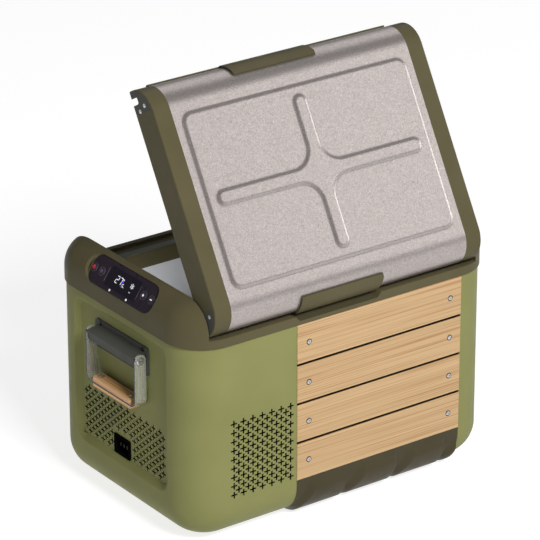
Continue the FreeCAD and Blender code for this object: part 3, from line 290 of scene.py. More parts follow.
# ---- floor, light and camera --------------------------------------------
# name, place, width, height, watts, and the only kind of ray that meets it
LAMPS = (
    ("Key", (-0.6, -3.9, 3.4), 1.6, 1.2, 285, "diffuse"),
    ("Right fill", (4.0, -2.2, 2.4), 3.0, 3.0, 10, "diffuse"),
    ("Sheet card", (3.1, -3.7, 2.9), 3.4, 3.0, 58, "glossy"),
    ("Right strip", (4.6, -0.6, 0.9), 2.6, 1.8, 60, "glossy"),
    ("Left card", (-4.2, 1.2, 2.6), 2.4, 2.4, 12, "glossy"),
    ("Top card", (2.6, 2.2, 4.0), 3.0, 3.0, 34, "glossy"),
)
LAMP_AIM = Vector((0, 0, 0.35))
TUB_LAMP_WATTS, TUB_LAMP_RADIUS = 0.3, 0.02
TUB_LAMP_OFFSET = Vector((0.05, 0.04, -0.035))   # from the tub's own light
FLOOR_GLOW, ROOM_GLOW = 0.78, 0.22


def studio():
    mesh = bpy.data.meshes.new("studio_floor")
    half = 30.0
    mesh.from_pydata([(-half, -half, 0), (half, -half, 0), (half, half, 0), (-half, half, 0)],
                     [], [(0, 1, 2, 3)])
    floor = bpy.data.objects.new("studio_floor", mesh)
    bpy.context.collection.objects.link(floor)
    paint = Finish("Pale floor", 0.9)
    paint.colour(paint.mix(paint.noise(0.6), tone(158, 158, 158), tone(164, 164, 164)))
    paint.shader.inputs["Emission Color"].default_value = (1.0, 1.0, 1.0, 1.0)
    paint.shader.inputs["Emission Strength"].default_value = FLOOR_GLOW
    mesh.materials.append(paint.material)

    world = bpy.data.worlds.new("Studio")
    bpy.context.scene.world = world
    world.use_nodes = True
    background = world.node_tree.nodes["Background"]
    background.inputs["Color"].default_value = (1.0, 1.0, 1.0, 1.0)
    background.inputs["Strength"].default_value = ROOM_GLOW
    for name, at, width, height, watts, lights in LAMPS:
        lamp = bpy.data.lights.new(name, "AREA")
        lamp.shape = "RECTANGLE"
        lamp.size, lamp.size_y, lamp.energy = width, height, watts
        holder = bpy.data.objects.new(name, lamp)
        holder.location = at
        holder.visible_diffuse = lights != "glossy"
        holder.visible_glossy = lights != "diffuse"
        aim = LAMP_AIM - Vector(at)
        holder.rotation_euler = aim.to_track_quat("-Z", "Y").to_euler()
        bpy.context.collection.objects.link(holder)
    lamp = bpy.data.lights.new("Tub light", "POINT")
    lamp.energy, lamp.shadow_soft_size = TUB_LAMP_WATTS, TUB_LAMP_RADIUS
    holder = bpy.data.objects.new("Tub light", lamp)
    low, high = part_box("interior_light")
    holder.location = (low + high) / 2 + TUB_LAMP_OFFSET
    bpy.context.collection.objects.link(holder)


CAMERA_AZIMUTH, CAMERA_ELEVATION = math.radians(-35.877), math.radians(23.808)
CAMERA_ROLL = math.radians(-0.047)
CAMERA_AIM, CAMERA_DISTANCE = Vector((0.0527, 0.0809, 0.3026)), 5.874
CAMERA_LENS, CAMERA_SENSOR = 237.35, 36.0


def camera():
    data = bpy.data.cameras.new("Camera")
    data.lens, data.sensor_width = CAMERA_LENS, CAMERA_SENSOR
    data.clip_end = 100.0
    item = bpy.data.objects.new("Camera", data)
    away = Vector((math.sin(CAMERA_AZIMUTH) * math.cos(CAMERA_ELEVATION),
                   -math.cos(CAMERA_AZIMUTH) * math.cos(CAMERA_ELEVATION),
                   math.sin(CAMERA_ELEVATION)))
    turn = (Matrix.Rotation(CAMERA_AZIMUTH, 3, "Z")
            @ Matrix.Rotation(math.radians(90) - CAMERA_ELEVATION, 3, "X")
            @ Matrix.Rotation(CAMERA_ROLL, 3, "Z"))
    item.matrix_world = Matrix.Translation(CAMERA_AIM + away * CAMERA_DISTANCE) @ turn.to_4x4()
    bpy.context.collection.objects.link(item)
    bpy.context.scene.camera = item
    bpy.context.scene.view_settings.view_transform = "Standard"


# ---- geometry trees -----------------------------------------------------
class Field:
    """A value in a geometry tree; arithmetic on it adds math nodes."""

    def __init__(self, tree, socket):
        self.tree, self.socket = tree, socket

    def __add__(self, other):
        return self.tree.math("ADD", self, other)

    def __sub__(self, other):
        return self.tree.math("SUBTRACT", self, other)

    def __rsub__(self, other):
        return self.tree.math("SUBTRACT", other, self)

    def __mul__(self, other):
        return self.tree.math("MULTIPLY", self, other)

    def __truediv__(self, other):
        return self.tree.math("DIVIDE", self, other)

    __radd__, __rmul__ = __add__, __mul__

    def __abs__(self):
        return self.tree.math("ABSOLUTE", self)

    def below(self, other):
        return self.tree.math("LESS_THAN", self, other)

    def above(self, other):
        return self.tree.math("GREATER_THAN", self, other)

    def at_least(self, other):
        return self.tree.math("MAXIMUM", self, other)

    def at_most(self, other):
        return self.tree.math("MINIMUM", self, other)


class Tree:
    """A geometry node tree with named inputs, built call by call."""

    def __init__(self, name, points=False):
        self.group = bpy.data.node_groups.new(name, "GeometryNodeTree")
        self.group.is_modifier = True
        if points:
            self.group.interface.new_socket("Geometry", in_out="INPUT",
                                            socket_type="NodeSocketGeometry")
        self.group.interface.new_socket("Geometry", in_out="OUTPUT",
                                        socket_type="NodeSocketGeometry")
        self.start = self.group.nodes.new("NodeGroupInput")
        self.end = self.group.nodes.new("NodeGroupOutput")
        self.identifiers = {}

    def size(self, name, kind="NodeSocketFloat"):
        socket = self.group.interface.new_socket(name, in_out="INPUT", socket_type=kind)
        self.identifiers[name] = socket.identifier
        return Field(self, self.start.outputs[name])

    def sizes(self, *names):
        return [self.size(name) for name in names]

    def node(self, kind, settings=(), **inputs):
        """New node; an input is a socket's name with _ for spaces, or i0, i1 by place."""
        item = self.group.nodes.new(kind)
        for key, value in dict(settings).items():
            setattr(item, key, value)
        for key, value in inputs.items():
            by_place = key[0] == "i" and key[1:].isdigit()
            socket = item.inputs[int(key[1:])] if by_place else item.inputs[key.replace("_", " ")]
            self.feed(socket, value)
        return item

    def feed(self, socket, value):
        for part in value if isinstance(value, list) else [value]:
            if isinstance(part, Field):
                self.group.links.new(part.socket, socket)
            elif isinstance(part, bpy.types.NodeSocket):
                self.group.links.new(part, socket)
            else:
                socket.default_value = part

    def math(self, operation, *values):
        inputs = {f"i{place}": value for place, value in enumerate(values)}
        item = self.node("ShaderNodeMath", {"operation": operation}, **inputs)
        return Field(self, item.outputs[0])

    def smooth(self, value, start, end):
        """0 up to start, 1 from end, and a soft S between them."""
        item = self.node("ShaderNodeMapRange", {"interpolation_type": "SMOOTHSTEP"},
                         Value=value, From_Min=start, From_Max=end)
        return Field(self, item.outputs["Result"])

    def linear(self, value, start, end):
        """0 up to start, 1 from end, and a straight rise between them."""
        item = self.node("ShaderNodeMapRange", Value=value, From_Min=start, From_Max=end)
        return Field(self, item.outputs["Result"])

    def length(self, a, b):
        return self.math("SQRT", a * a + b * b)

    def vector(self, x, y, z):
        return self.node("ShaderNodeCombineXYZ", X=x, Y=y, Z=z).outputs[0]

    def position(self):
        item = self.node("ShaderNodeSeparateXYZ",
                         Vector=self.node("GeometryNodeInputPosition").outputs[0])
        return [Field(self, socket) for socket in item.outputs]

    def on_points(self, geometry):
        """One copy on each given point, turned by the point's own "out" direction."""
        out = self.node("GeometryNodeInputNamedAttribute", {"data_type": "FLOAT_VECTOR"}, Name="out")
        turn = self.node("FunctionNodeAlignRotationToVector", {"axis": "Z"},
                         Vector=out.outputs["Attribute"])
        return self.node("GeometryNodeInstanceOnPoints", Points=self.start.outputs["Geometry"],
                         Instance=geometry, Rotation=turn.outputs[0]).outputs[0]

    def finish(self, geometry):
        material = self.size("Material", "NodeSocketMaterial")
        real = self.node("GeometryNodeRealizeInstances", Geometry=geometry)
        painted = self.node("GeometryNodeSetMaterial", Geometry=real.outputs[0], Material=material)
        self.group.links.new(painted.outputs[0], self.end.inputs[0])
        return self


CREASE = math.radians(34)                        # edges sharper than this stay hard


def points_mesh(name, points):
    """Mesh of loose points that carry their way out."""
    mesh = bpy.data.meshes.new(name)
    mesh.from_pydata([at for at, _ in points], [], [])
    ways = mesh.attributes.new("out", "FLOAT_VECTOR", "POINT")
    for entry, (_, out) in zip(ways.data, points):
        entry.vector = out
    return mesh


def grown(name, tree, slot, body, replaced=(), place=None, wall=0.0, smooth=True, points=(),
          **sizes):
    """Turn a tree into one plain mesh, put it in place and let it ride on its body."""
    item = bpy.data.objects.new(name, points_mesh(name, points))
    bpy.context.collection.objects.link(item)
    build = item.modifiers.new("Build", "NODES")
    build.node_group = tree.group
    sizes["Material"] = FINISHES[slot]
    for key, value in sizes.items():
        build[tree.identifiers[key.replace("_", " ")]] = value
    if wall:
        thicken = item.modifiers.new("Wall", "SOLIDIFY")
        thicken.thickness, thicken.offset = wall, -1.0
    bpy.context.view_layer.update()
    evaluated = item.evaluated_get(bpy.context.evaluated_depsgraph_get())
    mesh = bpy.data.meshes.new_from_object(evaluated)
    item.modifiers.clear()
    item.data = mesh
    return placed(item, slot, body, replaced, place, smooth)


def placed(item, slot, body, replaced=(), place=None, smooth=True):
    """Finish a piece: place in its mesh, outward faces, shading and body; the slot is not used."""
    if place is not None:
        item.data.transform(place)
    tidy = bmesh.new()
    tidy.from_mesh(item.data)
    bmesh.ops.remove_doubles(tidy, verts=tidy.verts, dist=1e-6)
    bmesh.ops.recalc_face_normals(tidy, faces=tidy.faces)
    tidy.to_mesh(item.data)
    tidy.free()
    if smooth:
        item.data.shade_smooth()
        item.data.set_sharp_from_angle(angle=CREASE)
    if replaced:
        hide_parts(*replaced)
    slot in RECORD_SLOTS
    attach(item, body)
    return item


# ---- the lid's sheet ----------------------------------------------------
def hinge_turn(joint, degrees):
    """Matrix that turns a closed-lid shape about a joint's axis."""
    pin = Matrix.Translation(Vector(joint["pos_m"]))
    turn = Matrix.Rotation(math.radians(degrees), 4, Vector(joint["axis"]))
    return pin @ turn @ pin.inverted()


LID = JOINTS["lid_hinge"]
LID_OPEN = -LID["range_deg"][0]
TO_OPEN = hinge_turn(LID, LID_OPEN)


def closed_box(node):
    """Box of a lid node with the lid turned shut."""
    shut = TO_OPEN.inverted()
    points = [shut @ vertex.co for vertex in nodes[node].data.vertices]
    low = Vector([min(point[axis] for point in points) for axis in range(3)])
    high = Vector([max(point[axis] for point in points) for axis in range(3)])
    return low, high


def sheet_tree():
    """A sheet bent over two long edges, with a raised field and a cross bead on it."""
    tree = Tree("Embossed lid sheet")
    half_x, half_y, top, edge_r, skirt = tree.sizes("Half Length", "Half Depth", "Top",
                                                    "Edge Radius", "Skirt")
    field_x, field_y, field_r, rise, bevel = tree.sizes("Field X", "Field Y", "Field Corner",
                                                        "Rise", "Bevel")
    bead_x, bead_y, bead, fillet = tree.sizes("Bead X", "Bead Y", "Bead Half Width", "Bead Fillet")
    latch_x, ear_x, ear_half, ear_low, ear_high = tree.sizes("Latch X", "Ear X", "Ear Half",
                                                             "Ear Low", "Ear High")
    step = tree.size("Step")
    flat = half_y - edge_r
    quarter = edge_r * (math.pi / 2)
    reach = flat + quarter + skirt
    grid = tree.node("GeometryNodeMeshGrid", Size_X=half_x * 2, Size_Y=reach * 2,
                     Vertices_X=half_x * 2 / step, Vertices_Y=reach * 2 / step).outputs["Mesh"]
    x, along, _ = tree.position()
    walk = abs(along)
    angle = tree.math("DIVIDE", walk - flat, edge_r).at_least(0.0).at_most(math.pi / 2)
    straight = (walk - flat - quarter).at_least(0.0)
    side = tree.math("SIGN", along)
    across = walk.at_most(flat) + edge_r * tree.math("SINE", angle)
    drop = edge_r * (1.0 - tree.math("COSINE", angle)) + straight
    out_x, out_y = abs(x) - (field_x - field_r), across - (field_y - field_r)
    corner = tree.length(out_x.at_least(0.0), out_y.at_least(0.0))
    outside = corner + out_x.at_least(out_y).at_most(0.0) - field_r
    long_arm = tree.length((abs(x) - (bead_x - bead)).at_least(0.0), across) - bead
    short_arm = tree.length(abs(x), (across - (bead_y - bead)).at_least(0.0)) - bead
    turn = bead + fillet
    web = fillet - tree.length(abs(x) - turn, across - turn)
    in_web = abs(x).below(turn) * across.below(turn)
    near_bead = long_arm.at_most(short_arm).at_most(web + (1.0 - in_web))
    height = rise * (2.0 - tree.smooth(outside, 0.0, bevel) - tree.smooth(near_bead, -1.0 * MM, bevel))
    shaped = tree.node("GeometryNodeSetPosition", Geometry=grid,
                       Position=tree.vector(x, side * across, top - drop + height)).outputs[0]
    px, py, pz = tree.position()
    opening = abs(abs(px - latch_x) - ear_x).below(ear_half) * pz.above(ear_low) * pz.below(ear_high)
    opening = opening * abs(py).above(flat)
    cut = tree.node("GeometryNodeDeleteGeometry", {"domain": "FACE"}, Geometry=shaped,
                    Selection=opening).outputs[0]
    return tree.finish(cut)


def lid_sheet():
    low, high = closed_box("lid_sheet")
    rise = 2.5 * MM
    top = high.z - 2 * rise
    edge_r = 44 * MM
    latch_low, latch_high = closed_box("front_latch_grip")
    grown("embossed_sheet", sheet_tree(), "lid_metal", "lid", ("lid_sheet",), TO_OPEN, 1.4 * MM,
          Half_Length=high.x, Half_Depth=high.y, Top=top, Edge_Radius=edge_r,
          Skirt=top - edge_r - low.z, Field_X=213 * MM, Field_Y=138 * MM, Field_Corner=14 * MM,
          Rise=rise, Bevel=5 * MM, Bead_X=195 * MM, Bead_Y=122 * MM, Bead_Half_Width=9 * MM,
          Bead_Fillet=38 * MM, Latch_X=(latch_low.x + latch_high.x) / 2, Ear_X=68 * MM,
          Ear_Half=4 * MM,
          Ear_Low=top - 23 * MM, Ear_High=latch_high.z - 4 * MM, Step=2.4 * MM)


def rear_rail():
    """Olive rail that the sheet's rear edge tucks behind."""
    high = closed_box("lid_sheet")[1]
    frame_low = closed_box("lid_frame")[0]
    proud, tall, rounding = 3.0 * MM, 7.5 * MM, 0.9 * MM
    shape = bmesh.new()
    size = Vector((high.x * 2, proud, tall))
    middle = Vector((0, high.y + size.y / 2, frame_low.z + size.z / 2))
    place = Matrix.Translation(middle) @ Matrix.Diagonal((*size, 1.0))
    bmesh.ops.create_cube(shape, size=1.0, matrix=place)
    bmesh.ops.bevel(shape, geom=shape.edges[:], offset=rounding, segments=2, affect="EDGES")
    mesh = bpy.data.meshes.new("rear_edge_rail")
    shape.to_mesh(mesh)
    shape.free()
    item = bpy.data.objects.new("rear_edge_rail", mesh)
    bpy.context.collection.objects.link(item)
    mesh.materials.append(FINISHES["olive_frame"])
    placed(item, "olive_frame", "lid", (), TO_OPEN)


# ---- bumpers ------------------------------------------------------------
def bumper_tree():
    """Band that wraps under the housing, with round lugs between grooves."""
    tree = Tree("Lugged bumper")
    left, right, face, top, radius, floor, under = tree.sizes(
        "Left", "Right", "Face", "Top", "Radius", "Floor", "Under")
    band, lug, rise, fall, groove = tree.sizes("Band", "Lug", "Rise", "Fall", "Groove Half Width")
    lean_by, lean_start, lean_end = tree.sizes("Lean", "Lean Start", "Lean End")
    crown_start, crown_end = tree.sizes("Crown Start", "Crown End")
    grooves = tree.sizes("Groove 1", "Groove 2", "Groove 3")
    step = tree.size("Step")
    straight = top - floor - radius
    quarter = radius * (math.pi / 2)
    reach = straight + quarter + under
    wide = right - left
    grid = tree.node("GeometryNodeMeshGrid", Size_X=wide, Size_Y=reach,
                     Vertices_X=wide / step, Vertices_Y=reach / step).outputs["Mesh"]
    x, along, _ = tree.position()
    x = x + (left + right) / 2.0
    walk = along + reach / 2.0
    lugs = None
    edges = [left, *grooves, right]
    lean = (1.0 - tree.smooth(walk, lean_start, lean_end)) * lean_by
    for start, end in zip(edges, edges[1:]):
        facet = tree.linear(x - lean, start + groove, start + rise)
        one = facet * (1.0 - tree.smooth(x, end - fall, end - groove))
        lugs = one if lugs is None else lugs + one
    crown = tree.smooth(walk, crown_start, crown_end)
    proud = band + (lug - band) * lugs * crown
    angle = ((walk - straight) / radius).at_least(0.0).at_most(math.pi / 2)
    past = (walk - straight - quarter).at_least(0.0)
    outer = radius + proud
    y = face + radius - outer * tree.math("COSINE", angle) + past
    centre_z = floor + radius
    z = centre_z + (straight - walk).at_least(0.0) - outer * tree.math("SINE", angle)
    shaped = tree.node("GeometryNodeSetPosition", Geometry=grid,
                       Position=tree.vector(x, y, z)).outputs[0]
    return tree.finish(shaped)


def bumpers():
    tree = bumper_tree()
    low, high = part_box("front_bumper")
    wall = -2.3 * MM                             # thickens inwards from the outer face
    for side, node in ((1, "front_bumper"), (-1, "rear_bumper")):
        place = Matrix.Diagonal((1, side, 1, 1))
        grown(node.replace("bumper", "lug_bumper"), tree, "bumper_plastic", "housing", (node,),
              place, wall, Left=low.x, Right=high.x, Face=SHELL_FACE, Top=high.z,
              Radius=56 * MM, Floor=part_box("outer_shell")[0].z, Under=26 * MM, Band=0.3 * MM,
              Lug=SHELL_FACE - low.y - 0.1 * MM, Rise=13 * MM, Fall=5 * MM,
              Groove_Half_Width=0.8 * MM, Lean=20.8 * MM, Lean_Start=12 * MM, Lean_End=58 * MM,
              Crown_Start=7 * MM, Crown_End=24 * MM, Groove_1=2.5 * MM, Groove_2=103 * MM,
              Groove_3=202 * MM, Step=2.2 * MM)


# ---- vent grilles -------------------------------------------------------
def grille_tree():
    """Plate with staggered plus-shaped holes, drawn flat: x right, y up, z through."""
    tree = Tree("Perforated vent")
    wide, tall, thick, step_x, step_y = tree.sizes("Width", "Height", "Thickness", "Step X", "Step Y")
    span, arm, block_x, block_y, block_w, block_h = tree.sizes(
        "Span", "Arm", "Block X", "Block Y", "Block Half Width", "Block Half Height")
    window_w, window_h = tree.sizes("Window Width", "Window Height")
    counts = [tree.size(name, "NodeSocketInt")
              for name in ("Columns", "Rows", "Columns Between", "Rows Between")]
    plate = tree.node("GeometryNodeMeshCube", Size=tree.vector(wide, tall, thick)).outputs["Mesh"]
    sets = []
    for columns, rows in (counts[:2], counts[2:]):
        sets.append(tree.node("GeometryNodeMeshGrid", Size_X=step_x * (columns - 1),
                              Size_Y=step_y * (rows - 1), Vertices_X=columns,
                              Vertices_Y=rows).outputs["Mesh"])
    joined = tree.node("GeometryNodeJoinGeometry", Geometry=sets).outputs[0]
    x, y, _ = tree.position()
    blocked = abs(x - block_x).below(block_w) * abs(y - block_y).below(block_h)
    spots = tree.node("GeometryNodeDeleteGeometry", Geometry=joined, Selection=blocked).outputs[0]
    cutters = []
    for bar in ((span, arm), (arm, span)):
        cube = tree.node("GeometryNodeMeshCube", Size=tree.vector(*bar, thick * 3.0)).outputs["Mesh"]
        cutters.append(tree.node("GeometryNodeInstanceOnPoints", Points=spots,
                                 Instance=cube).outputs[0])
    window = tree.node("GeometryNodeMeshCube",
                       Size=tree.vector(window_w, window_h, thick * 3.0)).outputs["Mesh"]
    moved = tree.node("GeometryNodeTransform", Geometry=window,
                      Translation=tree.vector(block_x, block_y, 0.0)).outputs[0]
    holes = tree.node("GeometryNodeMeshBoolean", {"operation": "DIFFERENCE"}, i0=plate,
                      i1=cutters + [moved])
    return tree.finish(holes.outputs[0])


def grilles():
    tree = grille_tree()
    thick, plate_thick = 1.2 * MM, 3 * MM
    flush = Matrix.Translation((0, 0, (plate_thick - thick) / 2))
    upright = Matrix.Rotation(math.radians(90), 4, "X")
    far_off = 1.0                                # a block of no size, well clear of the plate
    common = dict(Thickness=thick, Step_X=18.29 * MM, Step_Y=15.55 * MM, Span=12 * MM, Arm=3 * MM)
    low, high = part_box("front_vent_grille")
    facing_front = Matrix.Translation((low + high) / 2) @ upright @ flush
    grown("front_vent", tree, "green_shell", "housing", ("front_vent_grille",), facing_front,
          smooth=False, Width=high.x - low.x, Height=high.z - low.z, Columns=7, Rows=9,
          Columns_Between=6, Rows_Between=8, Block_X=far_off, **common)
    low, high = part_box("end_vent_grille")
    socket_low, socket_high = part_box("power_socket")
    middle, socket = (low + high) / 2, (socket_low + socket_high) / 2
    facing_end = (Matrix.Translation(middle) @ Matrix.Rotation(math.radians(-90), 4, "Z")
                  @ upright @ flush)
    grown("end_vent", tree, "green_shell", "housing", ("end_vent_grille",), facing_end,
          smooth=False, Width=high.y - low.y, Height=high.z - low.z, Columns=12, Rows=6,
          Columns_Between=13, Rows_Between=5, Block_X=middle.y - socket.y,
          Block_Y=socket.z - middle.z, Block_Half_Width=29 * MM, Block_Half_Height=23 * MM,
          Window_Width=40 * MM, Window_Height=28 * MM, **common)


# ---- control panel marks ------------------------------------------------
def panel_place():
    """Matrix from the fascia's own plane (x right, y up, z out) to the object."""
    out = -Vector(JOINTS["power_press"]["axis"])
    right = Vector((0, -1, 0))
    up = out.cross(right)
    low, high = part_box("control_panel")
    at = (low + high) / 2 + out * (2 * MM)
    axes = Matrix((right, up, out)).transposed().to_4x4()
    return Matrix.Translation(at) @ axes


def plate_of(outlines, low, high):
    """Mesh of flat closed plates, each outline raised from low to high."""
    shape = bmesh.new()
    for outline in outlines:
        bottom = [shape.verts.new((x, y, low)) for x, y in outline]
        top = [shape.verts.new((x, y, high)) for x, y in outline]
        shape.faces.new(top)
        shape.faces.new(reversed(bottom))
        for place in range(len(outline)):
            after = (place + 1) % len(outline)
            shape.faces.new((bottom[place], bottom[after], top[after], top[place]))
    mesh = bpy.data.meshes.new("plates")
    shape.to_mesh(mesh)
    shape.free()
    return mesh


def bar(x0, y0, x1, y1, width):
    """Outline of a straight stroke between two points."""
    along = Vector((x1 - x0, y1 - y0)).normalized() * width / 2
    side = Vector((-along.y, along.x))
    corners = [Vector((x0, y0)) - along - side, Vector((x1, y1)) + along - side,
               Vector((x1, y1)) + along + side, Vector((x0, y0)) - along + side]
    return [tuple(corner) for corner in corners]


def arc(x, y, radius, start, end, width, pieces=14):
    """Short overlapping strokes along a circle's arc, in degrees."""
    stops = [math.radians(start + (end - start) * i / pieces) for i in range(pieces + 1)]
    points = [(x + radius * math.cos(a), y + radius * math.sin(a)) for a in stops]
    return [bar(*p, *q, width) for p, q in zip(points, points[1:])]


def disc(x, y, radius, sides=20):
    return [(x + radius * math.cos(math.tau * i / sides), y + radius * math.sin(math.tau * i / sides))
            for i in range(sides)]


SEGMENTS = {"a": (0, 2, 1, 2), "b": (1, 1, 1, 2), "c": (1, 0, 1, 1), "d": (0, 0, 1, 0),
            "e": (0, 0, 0, 1), "f": (0, 1, 0, 2), "g": (0, 1, 1, 1)}
DIGITS = {"2": "abged", "7": "abc"}


def digit(which, x, y, wide, tall, width):
    """Seven-segment digit, leaning a little."""
    def lean(a, b):
        return x + a * wide + b * tall * 0.07, y + b * tall / 2
    gap = width * 0.35
    strokes = []
    for segment in DIGITS[which]:
        a0, b0, a1, b1 = SEGMENTS[segment]
        start, end = Vector(lean(a0, b0)), Vector(lean(a1, b1))
        inwards = (end - start).normalized() * (gap + width / 2)
        strokes.append(bar(*(start + inwards), *(end - inwards), width))
    return strokes


def snowflake(x, y, radius, width):
    strokes = []
    for turn in range(6):
        way = Vector((math.cos(turn * math.pi / 3 + 0.52), math.sin(turn * math.pi / 3 + 0.52)))
        tip = Vector((x, y)) + way * radius
        strokes.append(bar(x, y, *tip, width))
        for sign in (-1, 1):
            fork = Vector((way.x - sign * way.y, way.y + sign * way.x)).normalized()
            base = Vector((x, y)) + way * radius * 0.55
            strokes.append(bar(*base, *(base + fork * radius * 0.35), width * 0.9))
    return strokes


POWER_U, SET_U, PLUS_U, MINUS_U = -79.8, -58.5, 58.5, 79.8    # keys along the fascia, in mm
MARK_SUNK, MARK_PROUD = 0.05, 0.12


def panel_marks():
    """Marks in mm on the fascia; a row is name, finish, body, height above it, outlines."""
    digits = digit("2", -20, -5, 6.2, 11.5, 1.15) + digit("7", -11, -5, 6.2, 11.5, 1.15)
    unit = arc(-0.6, 5.0, 1.1, 0, 360, 0.5) + arc(2.4, -3.0, 2.0, 50, 310, 0.6)
    small = [bar(-1.0, -6.2, 6.0, -6.2, 0.45)]
    flake = snowflake(24, 2.8, 4.6, 0.45) + arc(24, -6.4, 1.8, 200, 340, 0.45)
    lines = [bar(-44.5, -11.5, -44.5, 11.5, 0.6), bar(44.5, -11.5, 44.5, 11.5, 0.6)]
    # thin grey rings round the keys are painted highlights on the key rims
    key_rim_highlights = [part for u in (POWER_U, SET_U, PLUS_U, MINUS_U)
           for part in arc(u, 0, 7.4, 0, 360, 0.3, 28)]
    lens_top, fascia_top, cap_top = 0.9, 1.0, 2.6
    rows = [
        ("display_digits", "glow_white", "housing", lens_top, digits + unit + small + flake),
        ("display_blue_dot", "glow_blue", "housing", lens_top, [disc(-0.8, 1.4, 1.2)]),
        ("panel_lines_and_rim_highlights", "mark_grey", "housing", fascia_top, lines + key_rim_highlights),
        ("power_mark", "glow_red", "power_key", cap_top,
         arc(POWER_U, 0, 2.5, 120, 420, 1.1) + [bar(POWER_U, 0.6, POWER_U, 3.2, 1.1)]),
        ("set_mark", "mark_grey", "set_key", cap_top,
         arc(SET_U, 0, 2.2, 0, 360, 0.9) + [disc(SET_U, 0, 0.7)]),
        ("minus_mark", "glow_white", "minus_key", cap_top,
         [bar(MINUS_U - 1.9, 0, MINUS_U + 1.9, 0, 1.5)]),
        ("plus_mark", "glow_white", "plus_key", cap_top,
         [bar(PLUS_U - 1.9, 0, PLUS_U + 1.9, 0, 1.1), bar(PLUS_U, -1.9, PLUS_U, 1.9, 1.1)]),
    ]
    place = panel_place() @ Matrix.Scale(MM, 4)
    for name, finish, body, height, outlines in rows:
        item = bpy.data.objects.new(name, plate_of(outlines, height - MARK_SUNK, height + MARK_PROUD))
        item.data.materials.append(FINISHES[finish])
        bpy.context.collection.objects.link(item)
        placed(item, finish, body, (), place, smooth=False)


# ---- screws and bail straps ---------------------------------------------
def islands(node):
    """Boxes of a node's separate solids, in a fixed order."""
    shape = bmesh.new()
    shape.from_mesh(nodes[node].data)
    bmesh.ops.remove_doubles(shape, verts=shape.verts, dist=1e-6)
    waiting, boxes = set(shape.verts), []
    while waiting:
        stack, found = [waiting.pop()], []
        while stack:
            vertex = stack.pop()
            found.append(vertex.co.copy())
            for edge in vertex.link_edges:
                other = edge.other_vert(vertex)
                if other in waiting:
                    waiting.remove(other)
                    stack.append(other)
        boxes.append(tuple(Vector([pick(point[axis] for point in found) for axis in range(3)])
                           for pick in (min, max)))
    shape.free()
    return sorted(boxes, key=lambda box: tuple(round(value, 5) for value in box[0]))


def screw_tree():
    """Domed head with a cross recess on every point, facing the point's own way out."""
    tree = Tree("Cross-recess screw", points=True)
    radius, height, crown, span, slot, depth = tree.sizes("Radius", "Height", "Crown", "Recess Span",
                                                          "Recess Width", "Recess Depth")
    head = tree.node("GeometryNodeMeshCone", Vertices=24, Side_Segments=2, Radius_Top=crown,
                     Radius_Bottom=radius, Depth=height).outputs["Mesh"]
    cutters = []
    for bar_size in ((span, slot), (slot, span)):
        cube = tree.node("GeometryNodeMeshCube", Size=tree.vector(*bar_size, depth * 2.0))
        cutters.append(tree.node("GeometryNodeTransform", Geometry=cube.outputs["Mesh"],
                                 Translation=tree.vector(0.0, 0.0, height)).outputs[0])
    cut = tree.node("GeometryNodeMeshBoolean", {"operation": "DIFFERENCE"}, i0=head,
                    i1=cutters).outputs[0]
    return tree.finish(tree.on_points(cut))


def washer_and_shadow_tree():
    """Thin disc on every point, facing the point's own way out."""
    tree = Tree("Screw seat", points=True)
    radius, height = tree.sizes("Radius", "Height")
    plate = tree.node("GeometryNodeMeshCylinder", Vertices=28, Radius=radius, Depth=height * 2.0)
    return tree.finish(tree.on_points(plate.outputs["Mesh"]))


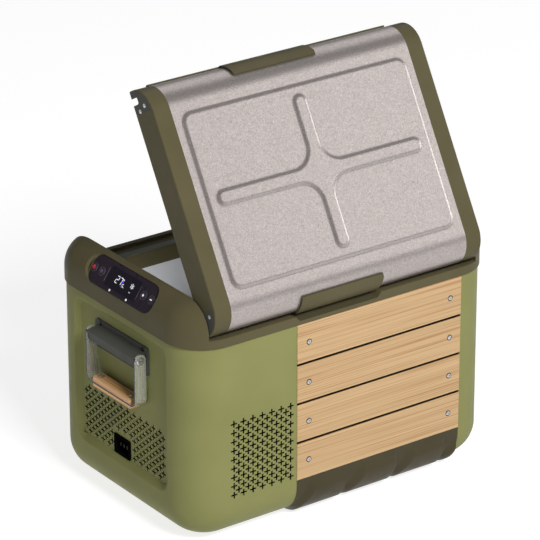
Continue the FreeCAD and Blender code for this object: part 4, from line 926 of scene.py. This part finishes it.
def screws():
    """Cross-recess heads, and the discs under them, for every node of screws: steel washers under some, and under
    the slat and bracket screws dark discs that are painted shadow rings.
    """
    head, seat_and_shadow_disc = screw_tree(), washer_and_shadow_tree()
    handle_y = JOINTS["left_bail_swing"]["pos_m"][1]
    across_y = {"handle_pivot_bolts": handle_y}  # these face away from the handle's middle
    # node, the axis it faces along, head radius and height and disc radius in mm, two finishes
    rows = (
        # the dark screw_shadow discs in these two rows are painted shadow rings round the heads
        ("slat_screws", "y", 4.0, 1.3, 5.0, "screw_steel", "screw_shadow"),
        ("handle_bracket_screws", "x", 3.4, 1.1, 4.2, "cut_edge", "screw_shadow"),
        ("handle_pivot_bolts", "y", 6.8, 1.9, 7.6, "screw_steel", "screw_steel"),
        ("left_handle_grip_screws", "z", 4.2, 1.2, 6.0, "screw_steel", "screw_steel"),
        ("right_handle_grip_screws", "z", 4.2, 1.2, 6.0, "screw_steel", "screw_steel"),
        ("hook_screws", "x", 2.8, 0.9, 3.4, "screw_steel", "screw_steel"),
    )
    for node, axis, radius, height, ring, head_finish, seat_and_shadow_finish in rows:
        place = "xyz".index(axis)
        points = []
        for low, high in islands(node):
            centre = (low + high) / 2
            sign = 1 if axis == "z" or centre[place] > across_y.get(node, 0.0) else -1
            out = Vector([sign if i == place else 0 for i in range(3)])
            tip = high[place] if sign > 0 else low[place]
            seat_at = centre.copy()
            seat_at[place] = tip - sign * height * MM
            points.append((seat_at, out))
        body = BODY_OF[node]
        grown(node.replace("screws", "cross_heads").replace("bolts", "bolt_heads"), head,
              head_finish, body, (node,), points=points, Radius=radius * MM, Height=height * MM,
              Crown=radius * 0.76 * MM, Recess_Span=radius * 1.05 * MM,
              Recess_Width=radius * 0.24 * MM, Recess_Depth=height * 0.7 * MM)
        grown(node + "_seats", seat_and_shadow_disc, seat_and_shadow_finish, body, points=points, Radius=ring * MM,
              Height=0.25 * MM)


def straps():
    """The bails' steel straps: brushed on the broad faces, with painted shade on the edges that face along x."""
    for side in ("left", "right"):
        node = side + "_handle_strap"
        source = nodes[node].data
        mesh = bpy.data.meshes.new(node)
        mesh.from_pydata([vertex.co for vertex in source.vertices], [],
                         [tuple(face.vertices) for face in source.polygons])
        item = bpy.data.objects.new(side + "_bail_strap", mesh)
        bpy.context.collection.objects.link(item)
        for finish in ("strap_steel", "cut_edge"):
            mesh.materials.append(FINISHES[finish])
        placed(item, "strap_steel", BODY_OF[node], (node,))
        for face in mesh.polygons:
            # faces pointing along x get the dark steel as painted shade
            face.material_index = int(abs(face.normal.x) > 0.8)


camera()
studio()
lid_sheet()
rear_rail()
bumpers()
grilles()
panel_marks()
screws()
straps()
